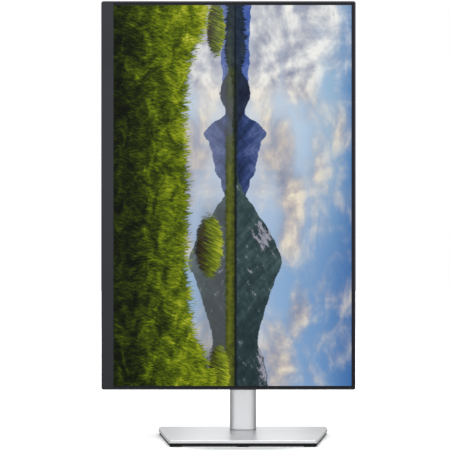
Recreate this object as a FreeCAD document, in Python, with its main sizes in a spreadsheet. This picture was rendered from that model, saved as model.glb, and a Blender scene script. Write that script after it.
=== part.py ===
import math
import os
import re

import FreeCAD
import Part
import Sketcher

# A desktop computer monitor on a height, tilt, swivel and pivot stand, standing in portrait.
# Frame: X to the viewer's right, Y away from the viewer, Z up, millimetres.
# Everything is laid out about the swivel axis, then each node is moved by (AXIS_X, AXIS_Y)
# so that the origin is under the middle of the whole object.

NUMBERS = {
    # display head, measured from the pivot axis: the chin is on the viewer's left in portrait
    "panel_long": 528.6, "chin_reach": 192.8, "top_reach": 153.2, "pivot_high": 336.7,
    "screen_fore": 102.0, "lip_wide": 2.4, "chin_wide": 16.6,
    "corner_round": 3.2, "bezel_join": 92.0, "thin_back": 88.0, "skin": 2.2,
    "hump_back": 52.0, "hump_side": 172.0, "hump_side_back": 160.0,
    "hump_low": 150.0, "hump_low_back": 132.0, "hump_top": 90.0, "hump_top_back": 78.0,
    "recess_half": 62.0, "recess_floor": 58.0, "port_wall": 118.0, "port_half": 130.0,
    "vesa_half": 50.0, "insert_radius": 4.0, "insert_bore": 2.0, "insert_deep": 12.0,
    # panel stack, distances in front of the swivel axis
    "glass_front": 100.5, "glass_thick": 1.4, "film_thick": 0.8, "guide_thick": 2.5,
    "pan_front": 95.2, "pan_thick": 1.0, "chassis_front": 93.4, "chassis_thick": 1.0,
    "board_front": 89.5, "board_thick": 1.6, "board_left": 114.6, "board_right": 58.4,
    # pillars that take the rear screws, measured from the pivot axis
    "post_rise": 146.0, "post_right": 64.0, "post_left": 102.0,
    # keys
    "button_high": 118.5, "button_back": 97.0, "button_long": 12.0, "button_thick": 4.4,
    "lens_proud": 0.4, "stick_x": 168.0, "stick_high": 113.0, "stick_plane": 90.0,
    # pivot and tilt hinge
    "mount_radius": 54.0, "mount_thick": 2.5, "tilt_radius": 32.0, "tilt_thick": 3.0,
    "shroud_radius": 50.0, "pivot_radius": 6.0, "running_gap": 0.02, "tilt_fore": 36.0,
    "tilt_radius_pin": 4.0,
    "knuckle_radius": 8.0, "knuckle_in": 12.0, "knuckle_out": 22.0, "ear_thick": 3.0,
    "washer_thin": 0.6, "head_tap": 6.0, "head_front": 26.0, "head_join": 23.0,
    # column
    "column_wide": 37.0, "column_fore": 20.0, "column_rear": 20.0, "column_top": 355.0,
    "column_foot": 9.8, "column_skin": 2.0, "front_round": 11.0, "rear_round": 8.0,
    "slot_half": 10.0, "slot_low": 210.0, "cable_low": 95.0, "cable_high": 131.0,
    "cable_half": 8.0, "rail_top": 350.0, "foot_block_top": 30.0,
    "carriage_low": 298.0, "carriage_high": 349.0, "coil_radius": 8.0, "coil_high": 280.0,
    "coil_back": 1.5, "drum_radius": 4.4, "foot_screw_high": 24.0,
    # base
    "base_fore": 152.0, "base_rear": 28.0, "base_rear_half": 119.0, "base_front_half": 99.0,
    "base_straight": 32.0, "base_top": 9.0, "plate_thick": 3.6, "foot_high": 1.5,
    "swivel_radius": 8.0,
}

doc = FreeCAD.newDocument("monitor")
sheet = doc.addObject("Spreadsheet::Sheet", "sizes")
for row, (word, number) in enumerate(NUMBERS.items(), 1):
    sheet.set(f"A{row}", word)
    sheet.set(f"B{row}", str(number))
    sheet.setAlias(f"B{row}", word)
doc.recompute()

# where the swivel axis stands, with the origin under the middle of the whole object
AXIS_X = "(chin_reach + lens_proud - top_reach) / 2"
AXIS_Y = "(base_fore - base_rear) / 2"


def bind(text):
    """An expression in the sheet's words, written out with the sheet's name."""
    return re.sub(r"[a-z_]+", lambda m: "sizes." + m.group(0) if m.group(0) in NUMBERS else m.group(0),
                  str(text))


def value(text):
    got = sheet.evalExpression(bind(text))
    return float(getattr(got, "Value", got))


def follow(thing, field, text):
    thing.setExpression(field, bind(text))


# ---------------------------------------------------------------- sketches and features
PLANES = {"x": "YZ_Plane", "y": "XZ_Plane", "z": "XY_Plane"}


def sketch_on(body, name, axis, offset):
    sk = body.newObject("Sketcher::SketchObject", name)
    plane = [f for f in body.Origin.OriginFeatures if f.Role == PLANES[axis]][0]
    sk.AttachmentSupport = [(plane, "")]
    sk.MapMode = "FlatFace"
    follow(sk, "AttachmentOffset.Base.z", offset)
    return sk


def fix(sk, kind, where, point, text):
    k = sk.addConstraint(Sketcher.Constraint(kind, -1, 1, where, point, value(text)))
    if any(w in str(text) for w in NUMBERS):
        follow(sk, f"Constraints[{k}]", text)


def draw(sk, loop):
    kind = loop[0]
    if kind == "circle":
        cx, cy, r = loop[1:]
        g = sk.addGeometry(Part.Circle(FreeCAD.Vector(value(cx), value(cy), 0), FreeCAD.Vector(0, 0, 1),
                                       value(r)), False)
        fix(sk, "DistanceX", g, 3, cx)
        fix(sk, "DistanceY", g, 3, cy)
        k = sk.addConstraint(Sketcher.Constraint("Radius", g, value(r)))
        if any(w in str(r) for w in NUMBERS):
            follow(sk, f"Constraints[{k}]", r)
        return
    if kind == "poly":
        points = loop[1]
        ids = []
        here = [FreeCAD.Vector(value(a), value(b), 0) for a, b in points]
        n = len(points)
        for i in range(n):
            ids.append(sk.addGeometry(Part.LineSegment(here[i], here[(i + 1) % n]), False))
        for i in range(n):
            sk.addConstraint(Sketcher.Constraint("Coincident", ids[i], 2, ids[(i + 1) % n], 1))
        for i, (a, b) in enumerate(points):
            fix(sk, "DistanceX", ids[i], 1, a)
            fix(sk, "DistanceY", ids[i], 1, b)
        return
    # a rectangle with a radius at each corner: lower left, lower right, upper right, upper left
    x0, y0, x1, y1, radii = loop[1:]
    a, b, c, d = radii
    ends = [((f"{x0} + {a}", y0), (f"{x1} - ({b})", y0)), ((x1, f"{y0} + {b}"), (x1, f"{y1} - ({c})")),
            ((f"{x1} - ({c})", y1), (f"{x0} + {d}", y1)), ((x0, f"{y1} - ({d})"), (x0, f"{y0} + {a}"))]
    lines = []
    for (p, q) in ends:
        pv = FreeCAD.Vector(value(p[0]), value(p[1]), 0)
        qv = FreeCAD.Vector(value(q[0]), value(q[1]), 0)
        g = sk.addGeometry(Part.LineSegment(pv, qv), False)
        lines.append(g)
    for g, (p, q) in zip(lines, ends):
        fix(sk, "DistanceX", g, 1, p[0])
        fix(sk, "DistanceY", g, 1, p[1])
        fix(sk, "DistanceX", g, 2, q[0])
        fix(sk, "DistanceY", g, 2, q[1])
    middles = [(f"{x1} - ({b})", f"{y0} + {b}", b, 270), (f"{x1} - ({c})", f"{y1} - ({c})", c, 0),
               (f"{x0} + {d}", f"{y1} - ({d})", d, 90), (f"{x0} + {a}", f"{y0} + {a}", a, 180)]
    for i, (cx, cy, r, start) in enumerate(middles):
        circle = Part.Circle(FreeCAD.Vector(value(cx), value(cy), 0), FreeCAD.Vector(0, 0, 1), value(r))
        g = sk.addGeometry(Part.ArcOfCircle(circle, math.radians(start), math.radians(start + 90)), False)
        sk.addConstraint(Sketcher.Constraint("Coincident", g, 1, lines[i], 2))
        sk.addConstraint(Sketcher.Constraint("Coincident", g, 2, lines[(i + 1) % 4], 1))
        fix(sk, "DistanceX", g, 3, cx)


def rect(x0, y0, x1, y1, r=None, radii=None):
    if radii is None and r is None:
        return ("poly", [(x0, y0), (x1, y0), (x1, y1), (x0, y1)])
    return ("rounded", x0, y0, x1, y1, radii or (r, r, r, r))


def circle(cx, cy, r):
    return ("circle", cx, cy, r)


def poly(*points):
    return ("poly", list(points))


def new_body(name):
    return doc.addObject("PartDesign::Body", name)


def grow(body, name, axis, lo, hi, *loops):
    """Material between lo and hi along an axis. Loops are in (Y, Z), (X, Z) or (X, Y)."""
    sk = sketch_on(body, name + "_sketch", axis, f"-({hi})" if axis == "y" else lo)
    for loop in loops:
        draw(sk, loop)
    pad = body.newObject("PartDesign::Pad", name)
    pad.Profile = sk
    follow(pad, "Length", f"({hi}) - ({lo})")
    sk.Visibility = False
    return pad


def carve(body, name, axis, lo, hi, *loops):
    """Removes the same region from what is there, and makes sure that something was removed."""
    doc.recompute()
    before = body.Shape.Volume
    sk = sketch_on(body, name + "_sketch", axis, f"-({lo})" if axis == "y" else hi)
    for loop in loops:
        draw(sk, loop)
    pocket = body.newObject("PartDesign::Pocket", name)
    pocket.Profile = sk
    follow(pocket, "Length", f"({hi}) - ({lo})")
    doc.recompute()
    if not body.Shape.Volume < before - 1e-6:
        raise RuntimeError(f"{body.Name}.{name} removed nothing")
    sk.Visibility = False
    return pocket


def taper(body, name, axis, lo, lo_loop, hi, hi_loop):
    """A ruled loft between one outline at lo and another at hi."""
    skins = []
    for tag, at, loop in (("a", lo, lo_loop), ("b", hi, hi_loop)):
        sk = sketch_on(body, f"{name}_{tag}_sketch", axis, f"-({at})" if axis == "y" else at)
        draw(sk, loop)
        sk.Visibility = False
        skins.append(sk)
    loft = body.newObject("PartDesign::AdditiveLoft", name)
    loft.Profile = skins[0]
    loft.Sections = [skins[1]]
    loft.Ruled = True
    return loft


# ---------------------------------------------------------------- primitives and booleans
def box(name, x0, x1, y0, y1, z0, z1):
    b = doc.addObject("Part::Box", name)
    for field, lo, hi in (("Length", x0, x1), ("Width", y0, y1), ("Height", z0, z1)):
        follow(b, field, f"({hi}) - ({lo})")
    for field, at in (("x", x0), ("y", y0), ("z", z0)):
        follow(b, f"Placement.Base.{field}", at)
    return b


def along(solid, axis, a, b, lo):
    """Turns a solid made along Z to run along an axis from lo, centred at (a, b) on the other two axes."""
    turns = {"x": FreeCAD.Rotation(FreeCAD.Vector(0, 1, 0), 90),
             "y": FreeCAD.Rotation(FreeCAD.Vector(1, 0, 0), -90), "z": FreeCAD.Rotation()}
    solid.Placement = FreeCAD.Placement(FreeCAD.Vector(), turns[axis])
    places = {"x": (lo, a, b), "y": (a, lo, b), "z": (a, b, lo)}
    for field, text in zip("xyz", places[axis]):
        follow(solid, f"Placement.Base.{field}", text)
    return solid


def rod(name, axis, r, a, b, lo, hi):
    """A cylinder along an axis, centred at (a, b) on the other two axes in XYZ order."""
    c = doc.addObject("Part::Cylinder", name)
    follow(c, "Radius", r)
    follow(c, "Height", f"({hi}) - ({lo})")
    return along(c, axis, a, b, lo)


def nut(name, axis, across, a, b, lo, hi):
    """A hexagonal prism along an axis."""
    n = doc.addObject("Part::Prism", name)
    n.Polygon = 6
    follow(n, "Circumradius", f"({across}) / {math.sqrt(3):.7f}")
    follow(n, "Height", f"({hi}) - ({lo})")
    return along(n, axis, a, b, lo)


def fuse(name, *shapes):
    f = doc.addObject("Part::MultiFuse", name)
    f.Shapes = list(shapes)
    f.Refine = True
    return f


def cut(name, base, *tools):
    c = doc.addObject("Part::Cut", name)
    c.Base = base
    c.Tool = tools[0] if len(tools) == 1 else fuse(name + "_tools", *tools)
    c.Refine = True
    return c


def common(name, one, other):
    c = doc.addObject("Part::Common", name)
    c.Base = one
    c.Tool = other
    return c


def screw(name, axis, a, b, seat, way, head_r=3.4, head_t=2.0, shank_r=1.5, shank_t=8.0):
    """A pan-head screw: its head stands from the seat towards -way and its shank runs towards way."""
    s = f"({seat})"
    head = (f"{s} - {head_t}", s) if way > 0 else (s, f"{s} + {head_t}")
    shank = (f"{s} - 0.5", f"{s} + {shank_t}") if way > 0 else (f"{s} - {shank_t}", f"{s} + 0.5")
    drive = (f"{s} - {head_t} - 1",
             f"{s} - {head_t} + 1") if way > 0 else (f"{s} + {head_t} - 1", f"{s} + {head_t} + 1")
    h = rod(name + "_head", axis, head_r, a, b, *head)
    k = rod(name + "_shank", axis, shank_r, a, b, *shank)
    half, thin = head_r * 0.55, 0.45
    cross = []
    for i, (p, q) in enumerate(((half, thin), (thin, half))):
        spans = [(f"({a}) - {p}", f"({a}) + {p}"), (f"({b}) - {q}", f"({b}) + {q}")]
        spans.insert("xyz".index(axis), drive)
        cross.append(box(f"{name}_cross_{i}", *spans[0], *spans[1], *spans[2]))
    return cut(name, fuse(name + "_solid", h, k), *cross)


def group(name, *shapes):
    c = doc.addObject("Part::Compound", name)
    c.Links = list(shapes)
    return c


published = {}


def publish(thing, node):
    """Names a finished sub-part and moves it from the swivel frame to the row frame."""
    thing.Label = node
    follow(thing, "Placement.Base.x", AXIS_X)
    follow(thing, "Placement.Base.y", AXIS_Y)
    published[node] = thing


# rounded corners of a polygon: each corner keeps its own expression plus fixed offsets
def soften(points, radius):
    here = [(value(a), value(b)) for a, b in points]
    out = []
    n = len(points)
    for i, (a, b) in enumerate(points):
        p, c, q = here[i - 1], here[i], here[(i + 1) % n]
        u = (p[0] - c[0], p[1] - c[1])
        v = (q[0] - c[0], q[1] - c[1])
        lu, lv = math.hypot(*u), math.hypot(*v)
        u, v = (u[0] / lu, u[1] / lu), (v[0] / lv, v[1] / lv)
        half = math.acos(max(-1, min(1, u[0] * v[0] + u[1] * v[1]))) / 2
        reach = radius / math.tan(half)
        mid = (u[0] + v[0], u[1] + v[1])
        lm = math.hypot(*mid)
        centre = (mid[0] / lm * radius / math.sin(half), mid[1] / lm * radius / math.sin(half))
        first = (u[0] * reach - centre[0], u[1] * reach - centre[1])
        last = (v[0] * reach - centre[0], v[1] * reach - centre[1])
        a0, a1 = math.atan2(first[1], first[0]), math.atan2(last[1], last[0])
        turn = (a1 - a0 + math.pi) % (2 * math.pi) - math.pi
        for k in range(5):
            t = a0 + turn * k / 4
            dx, dy = centre[0] + radius * math.cos(t), centre[1] + radius * math.sin(t)
            out.append((f"{a} + {dx:.5f}", f"{b} + {dy:.5f}"))
    return out


# ================================================================ base
def base_plan(inset, radius):
    """Plan of the base, drawn in by an inset: straight sides at the rear, then slanting in to the front."""
    return poly(*soften([
        (f"-(base_rear_half - {inset})", f"base_rear - {inset}"),
        (f"-(base_rear_half - {inset})", "base_rear - base_straight"),
        (f"-(base_front_half - {inset})", f"-(base_fore - {inset})"),
        (f"base_front_half - {inset}", f"-(base_fore - {inset})"),
        (f"base_rear_half - {inset}", "base_rear - base_straight"),
        (f"base_rear_half - {inset}", f"base_rear - {inset}")], radius))


plate_low = "base_top - plate_thick"
COVER_SCREWS = (("-(base_rear_half - 22)", "base_rear - 14"), ("base_rear_half - 22", "base_rear - 14"),
                ("-(base_front_half - 14)", "-(base_fore - 22)"),
                ("base_front_half - 14", "-(base_fore - 22)"))
STOP_MID = 11.85       # radius of the groove's middle
STOP_TURN = 58         # degrees from straight ahead to each stop post
b = new_body("base_plate_body")
grow(b, "slab", "z", plate_low, "base_top - 0.6", base_plan(0, 3.0))
taper(b, "edge", "z", "base_top - 0.6", base_plan(0, 3.0), "base_top", base_plan(0.6, 2.6))
carve(b, "swivel_hole", "z", f"{plate_low} - 1", "base_top + 1", circle("0", "0", "swivel_radius + 0.2"))
carve(b, "stop_groove", "z", "base_top - 1.4", "base_top + 1", circle("0", "0", "13.9"),
      circle("0", "0", "9.8"))
for i, side in enumerate((-1, 1)):
    grow(b, f"stop_post_{i}", "z", "base_top - 1.5", "base_top - 0.1",
         circle(f"{STOP_MID * math.cos(math.radians(STOP_TURN)):.4f}",
                f"{side * STOP_MID * math.sin(math.radians(STOP_TURN)):.4f}", "1.2"))
for i, (x, y) in enumerate(COVER_SCREWS):
    carve(b, f"cover_thread_{i}", "z", f"{plate_low} - 1", f"{plate_low} + 2.2", circle(x, y, "1.5"))
publish(b, "base_plate")

cover = new_body("bottom_cover_body")
grow(cover, "tray", "z", "foot_high", plate_low, base_plan(1.2, 2.4))
carve(cover, "well", "z", "foot_high + 1", f"{plate_low} + 1", base_plan(3.6, 1.5))
for i, (x, y) in enumerate(COVER_SCREWS):
    carve(cover, f"screw_hole_{i}", "z", "foot_high - 1", "foot_high + 2", circle(x, y, "1.7"))
publish(cover, "base_bottom_cover")

weight = new_body("weight_body")
grow(weight, "sheet", "z", "foot_high + 1", plate_low, base_plan(4.4, 1.5))
carve(weight, "nut_room", "z", "foot_high", "base_top", circle("0", "0", "17"))
for i, (x, y) in enumerate(COVER_SCREWS):
    carve(weight, f"screw_room_{i}", "z", "foot_high", "base_top", circle(x, y, "1.8"))
publish(weight, "base_weight")

screws = []
for i, (x, y) in enumerate(COVER_SCREWS):
    screws.append(screw(f"base_screw_{i}", "z", x, y, "foot_high", 1, head_r=2.8, head_t=0.8, shank_r=1.45,
                        shank_t=5.6))
publish(group("base_screw_group", *screws), "base_screws")

pads = []
PAD_LONG, PAD_WIDE, TREAD_IN = 8.3, 4.0, 0.6
front_row = [(x, "-(base_fore - 7)") for x in ("-(base_front_half - 9.2)", "0", "base_front_half - 9.2")]
rear_row = [(x, "base_rear - 7") for x in ("-(base_rear_half - 12)", "0", "base_rear_half - 12")]
for i, (x, y) in enumerate(front_row + rear_row):
    f = new_body(f"foot_{i}")
    for tag, lo, hi, inset, r in (("pad", "0.25", "foot_high", 0, "2"),
                                  ("tread", "0", "0.25", TREAD_IN, "1.4")):
        grow(f, tag, "z", lo, hi, rect(f"{x} - {PAD_LONG - inset}", f"{y} - {PAD_WIDE - inset}",
                                       f"{x} + {PAD_LONG - inset}", f"{y} + {PAD_WIDE - inset}", r))
    pads.append(f)
publish(group("feet_group", *pads), "base_feet")

ring = cut("swivel_ring_cut", rod("swivel_ring_o", "z", "16.8", "0", "0", "base_top", "base_top + 0.5"),
           rod("swivel_ring_i", "z", "14.2", "0", "0", "base_top - 1", "base_top + 2"))
publish(ring, "swivel_washer")

# ================================================================ column foot, turning on the base
foot = new_body("column_foot_body")


def column_section(inset):
    half = f"column_wide / 2 - ({inset})"
    return rect(f"-({half})", f"-(column_fore - ({inset}))", half, f"column_rear - ({inset})",
                radii=(f"front_round - ({inset})", f"front_round - ({inset})", f"rear_round - ({inset})",
                       f"rear_round - ({inset})"))


grow(foot, "block", "z", "column_foot", "foot_block_top", column_section("column_skin + 0.1"))
grow(foot, "spigot", "z", f"{plate_low} - 2.6", "column_foot", circle("0", "0", "swivel_radius"))
grow(foot, "stop", "z", "base_top - 1.1", "column_foot", rect("10.4", "-1", "12.6", "1"))
carve(foot, "hollow", "z", "column_foot + 5", "foot_block_top + 1",
      rect("-(column_wide / 2 - 7)", "-10", "column_wide / 2 - 7", "10", "3"))
carve(foot, "screw_taps", "y", "-(column_fore + 1)", "column_rear + 1",
      circle("0", "foot_screw_high", "1.25"))
publish(foot, "column_foot")

lock = cut("swivel_nut_cut",
           fuse("swivel_nut_solid",
                nut("swivel_nut_o", "z", "24", "0", "0", f"{plate_low} - 2.6", f"{plate_low} - 0.9"),
                                  rod("swivel_nut_flange", "z", "14", "0", "0", f"{plate_low} - 1.1",
                                      f"{plate_low} - 0.1")),
           rod("swivel_nut_i", "z", "swivel_radius", "0", "0", f"{plate_low} - 4", f"{plate_low} + 1"))
publish(lock, "swivel_nut")

# covers: two half shells that meet on the side walls, with an overlap lip hidden inside
for side, y0, y1 in (("front", "-(column_fore + 1)", "-0.05"), ("rear", "0.05", "column_rear + 1")):
    tube = new_body(f"column_{side}_tube")
    grow(tube, "wall", "z", "column_foot - 0.2", "column_top - 2", column_section("0"))
    carve(tube, "bore", "z", "column_foot - 2", "column_top + 1", column_section("column_skin"))
    carve(tube, "cable_hole", "y", "-(column_fore + 2)", "column_rear + 2",
          rect("-cable_half", "cable_low", "cable_half", "cable_high", "cable_half - 0.05"))
    if side == "front":
        carve(tube, "arm_slot", "y", "-(column_fore + 2)", "0",
              rect("-slot_half", "slot_low", "slot_half", "column_top + 2"))
    else:
        carve(tube, "screw_low", "y", "0", "column_rear + 2", circle("0", "foot_screw_high", "1.6"))
        carve(tube, "screw_low_head", "y", "column_rear - 1", "column_rear + 2",
              circle("0", "foot_screw_high", "3.5"))
    clip = box(f"column_{side}_clip", "-(column_wide)", "column_wide", y0, y1, "0", "column_top + 10")
    publish(common(f"column_{side}_half", tube, clip), f"column_{side}_cover")

cap = new_body("column_cap_body")
grow(cap, "lid", "z", "column_top - 2", "column_top - 0.6", column_section("0"))
taper(cap, "crown", "z", "column_top - 0.6", column_section("0"), "column_top", column_section("0.6"))
grow(cap, "plug", "z", "column_top - 4", "column_top - 2", column_section("column_skin + 0.1"))
carve(cap, "plug_room", "z", "column_top - 5", "column_top - 2", column_section("column_skin + 1.6"))
carve(cap, "arm_gap", "z", "column_top - 5", "column_top - 2",
      rect("-(slot_half)", "-(column_fore + 1)", "slot_half", "-8"))
publish(cap, "column_cap")

liner = new_body("cable_ring_body")
grow(liner, "tube", "y", "-(column_fore + 0.6)", "column_rear + 0.6",
     rect("-(cable_half - 0.05)", "cable_low + 0.05", "cable_half - 0.05", "cable_high - 0.05",
          "cable_half - 0.1"))
carve(liner, "way", "y", "-(column_fore + 2)", "column_rear + 2",
      rect("-(cable_half - 1.5)", "cable_low + 1.5", "cable_half - 1.5", "cable_high - 1.5",
           "cable_half - 1.55"))
publish(liner, "cable_ring")

rail_half = "column_wide / 2 - 3"
rail = new_body("rail_body")
grow(rail, "channel", "z", "foot_block_top", "rail_top", poly(
    (f"-({rail_half})", "14"), (f"-({rail_half})", "-8"), (f"-({rail_half} - 4.5)", "-8"),
    (f"-({rail_half} - 4.5)", "-6.4"),
    (f"-({rail_half} - 1.6)", "-6.4"), (f"-({rail_half} - 1.6)", "12.4"), (f"{rail_half} - 1.6", "12.4"),
    (f"{rail_half} - 1.6", "-6.4"),
    (f"{rail_half} - 4.5", "-6.4"), (f"{rail_half} - 4.5", "-8"), (rail_half, "-8"), (rail_half, "14")))
grow(rail, "clamp_pad", "y", "10.4", "12.6", rect("-8", "rail_top - 8", "8", "rail_top - 1"))
grow(rail, "clamp_rivet", "y", "9.2", "10.5", circle("0", "rail_top - 4.5", "2"))
carve(rail, "cable_window", "y", "10", "16",
      rect("-(cable_half + 1)", "cable_low - 1", "cable_half + 1", "cable_high + 1", "3"))
publish(rail, "column_rail")

rear_screw = screw("column_screw", "y", "0", "foot_screw_high", "column_rear - 1", -1, head_r=3.2,
                   head_t=0.9, shank_r=1.2, shank_t=7)
publish(rear_screw, "column_screw")

# ================================================================ carriage, sliding in the rail
inside = f"({rail_half} - 1.6)"
HEAD_TAPS = ("pivot_high - head_tap", "pivot_high + head_tap")
car = new_body("carriage_body")
grow(car, "block", "z", "carriage_low", "carriage_high",
     rect(f"-({inside} - 1.4)", "-5.2", f"{inside} - 1.4", "5.4"))
grow(car, "cheek_left", "x", f"-({inside} - 1.4)", f"-({inside} - 3.2)",
     rect("-5.2", "coil_high - 11", "9", "carriage_low"))
grow(car, "cheek_right", "x", f"{inside} - 3.2", f"{inside} - 1.4",
     rect("-5.2", "coil_high - 11", "9", "carriage_low"))
grow(car, "arm", "y", "-head_join", "-5.2",
     rect("-(slot_half - 0.6)", "pivot_high - 10", "slot_half - 0.6", "pivot_high + 10", "2"))
carve(car, "lightening", "y", "-5.2", "6",
      rect(f"-({inside} - 5)", "carriage_low + 5", f"{inside} - 5", "pivot_high - 16", "2"))
grow(car, "axle", "x", f"-({inside} - 3)", f"{inside} - 3", circle("coil_back", "coil_high", "2"))
for i, z in enumerate(HEAD_TAPS):
    carve(car, f"tap_{i}", "y", "-24", "-12", circle("0", z, "1.6"))
publish(car, "carriage")

shoes = []
for i, z in enumerate(("carriage_low + 4", "carriage_high - 12")):
    for s in (-1, 1):
        shoe = new_body(f"shoe_{i}_{'lr'[s > 0]}")
        lo, hi = (f"-({inside} - 0.1)",
                  f"-({inside} - 1.4)") if s < 0 else (f"{inside} - 1.4", f"{inside} - 0.1")
        grow(shoe, "pad", "z", z, f"{z} + 8", rect(lo, "-6.2", hi, "7"))
        shoes.append(shoe)
publish(group("shoe_group", *shoes), "slider_pads")

coil_half = f"({inside} - 4.4)"
coil = cut("coil_cut",
           rod("coil_o", "x", "coil_radius", "coil_back", "coil_high", f"-{coil_half}", coil_half),
           rod("coil_i", "x", "drum_radius", "coil_back", "coil_high", f"-{coil_half} - 1",
               f"{coil_half} + 1"))
drum = cut("drum_cut",
           rod("drum_o", "x", "drum_radius", "coil_back", "coil_high", f"-({coil_half} + 0.4)",
               f"{coil_half} + 0.4"),
           rod("drum_i", "x", "2.1", "coil_back", "coil_high", f"-{coil_half} - 2", f"{coil_half} + 2"),
           box("drum_key", "-20", "20", "5.2", "7", "coil_high - 0.8", "coil_high + 0.8"))
publish(coil, "spring_coil")
publish(drum, "spring_drum")
strip = new_body("strip_body")
grow(strip, "band", "z", "coil_high", "rail_top - 1",
     rect("-6.5", "coil_back + coil_radius + 0.15", "6.5", "coil_back + coil_radius + 0.45"))
carve(strip, "rivet_hole", "y", "8", "12", circle("0", "rail_top - 4.5", "2.05"))
publish(strip, "spring_strip")

# ================================================================ tilt hinge: head fixed on the carriage
head = new_body("head_body")
grow(head, "plate", "y", "-head_front", "-head_join",
     rect("-knuckle_out", "pivot_high - 12", "knuckle_out", "pivot_high + 12", "3"))
for s, lo, hi in (("left", "-knuckle_out", "-knuckle_in"), ("right", "knuckle_in", "knuckle_out")):
    grow(head, f"cheek_{s}", "x", lo, hi,
         rect("-tilt_fore", "pivot_high - knuckle_radius", "-(head_front - 0.1)",
              "pivot_high + knuckle_radius"))
    grow(head, f"barrel_{s}", "x", lo, hi, circle("-tilt_fore", "pivot_high", "knuckle_radius"))
carve(head, "pin_hole", "x", "-(knuckle_out + 1)", "knuckle_out + 1",
      circle("-tilt_fore", "pivot_high", "tilt_radius_pin"))
for i, z in enumerate(HEAD_TAPS):
    carve(head, f"clear_{i}", "y", "-27", "-22", circle("0", z, "1.75"))
publish(head, "head_bracket")
publish(group("head_screw_group",
              *[screw(f"head_screw_{i}", "y", "0", z, "-head_front", 1, head_r=2.9, head_t=1.8,
                      shank_r=1.55, shank_t=12)
                                    for i, z in enumerate(HEAD_TAPS)]), "head_screws")
arm_cover = new_body("arm_cover_body")
grow(arm_cover, "sleeve", "y", "-28", "-(column_fore + 0.6)",
     rect("-(knuckle_out + 3.0)", "pivot_high - 15", "knuckle_out + 3.0", "pivot_high + 15", "5"))
carve(arm_cover, "room", "y", "-29", "-22.6",
      rect("-(knuckle_out + 1.2)", "pivot_high - 13.2", "knuckle_out + 1.2", "pivot_high + 13.2", "3.4"))
carve(arm_cover, "arm_way", "y", "-23", "-(column_fore - 1)",
      rect("-(slot_half - 0.5)", "pivot_high - 10.1", "slot_half - 0.5", "pivot_high + 10.1"))
publish(arm_cover, "arm_cover")
pin_end = "knuckle_out + ear_thick + 5.4"
pin = fuse("pin_solid",
           rod("pin_rod", "x", "tilt_radius_pin", "-tilt_fore", "pivot_high",
               f"-(knuckle_out + ear_thick + 1.4)", pin_end),
           rod("pin_head", "x", "6", "-tilt_fore", "pivot_high", "-(knuckle_out + ear_thick + 3.4)",
               "-(knuckle_out + ear_thick + 2 * washer_thin)"))
publish(pin, "tilt_pin")
washer_at = [("-(knuckle_out + washer_thin)", "-knuckle_out"), ("knuckle_out", "knuckle_out + washer_thin"),
             ("-(knuckle_out + ear_thick + 2 * washer_thin)", "-(knuckle_out + ear_thick + washer_thin)"),
             ("knuckle_out + ear_thick + washer_thin", "knuckle_out + ear_thick + 2 * washer_thin")]
rings = [cut(f"tilt_ring_{i}", rod(f"tilt_ring_o{i}", "x", "6.4", "-tilt_fore", "pivot_high", lo, hi),
             rod(f"tilt_ring_i{i}", "x", "tilt_radius_pin", "-tilt_fore", "pivot_high", f"{lo} - 1",
                 f"{hi} + 1")) for i, (lo, hi) in enumerate(washer_at)]
publish(group("tilt_ring_group", *rings), "tilt_washers")
publish(cut("tilt_nut_cut",
            nut("tilt_nut_o", "x", "11", "-tilt_fore", "pivot_high",
                "knuckle_out + ear_thick + 2 * washer_thin", "knuckle_out + ear_thick + 4.6"),
            rod("tilt_nut_i", "x", "tilt_radius_pin", "-tilt_fore", "pivot_high", "knuckle_out",
                "knuckle_out + ear_thick + 9")), "tilt_nut")

# ================================================================ tilt bracket and the pivot
mount_back = "recess_floor - 0.1 - mount_thick"
tilt_front = f"{mount_back} - 1"
tilt_back = f"{tilt_front} - tilt_thick"
tb = new_body("tilt_body")
grow(tb, "disc", "y", f"-({tilt_front})", f"-({tilt_back})", circle("0", "pivot_high", "tilt_radius"))
for s, lo, hi in (("left", "-(knuckle_out + washer_thin + ear_thick)", "-(knuckle_out + washer_thin)"),
                  ("right", "knuckle_out + washer_thin", "knuckle_out + washer_thin + ear_thick")):
    grow(tb, f"ear_{s}", "x", lo, hi,
         rect(f"-({tilt_back} + 1)", "pivot_high - knuckle_radius", "-tilt_fore",
              "pivot_high + knuckle_radius"))
    grow(tb, f"ear_end_{s}", "x", lo, hi, circle("-tilt_fore", "pivot_high", "knuckle_radius"))
carve(tb, "pin_hole", "x", "-(knuckle_out + 9)", "knuckle_out + 9",
      circle("-tilt_fore", "pivot_high", "tilt_radius_pin + 0.1"))
carve(tb, "pivot_hole", "y", f"-({tilt_front} + 1)", f"-({tilt_back} - 1)",
      circle("0", "pivot_high", "pivot_radius + 0.1"))
publish(tb, "tilt_bracket")
shroud = new_body("shroud_body")
grow(shroud, "ring", "y", f"-({tilt_front} - 0.2)", f"-({tilt_back} - 0.6)",
     circle("0", "pivot_high", "shroud_radius"))
grow(shroud, "rim", "y", f"-({tilt_back} - 0.6)", f"-({tilt_back} - 1.4)",
     circle("0", "pivot_high", "shroud_radius - 1"))
carve(shroud, "seat", "y", f"-({tilt_front} + 1)", f"-({tilt_back})",
      circle("0", "pivot_high", "tilt_radius"))
carve(shroud, "mouth", "y", f"-({tilt_back} + 1)", f"-({tilt_back} - 3)",
      circle("0", "pivot_high", "tilt_radius - 1.2"))
publish(shroud, "hinge_shroud")
publish(cut("pivot_ring_cut",
            rod("pivot_ring_o", "y", "tilt_radius - 4", "0", "pivot_high",
                f"-({mount_back} - running_gap)", f"-({tilt_front})"),
            rod("pivot_ring_i", "y", "10", "0", "pivot_high", f"-({mount_back} + 1)",
                f"-({tilt_front} - 1)")), "pivot_washer")

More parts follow.
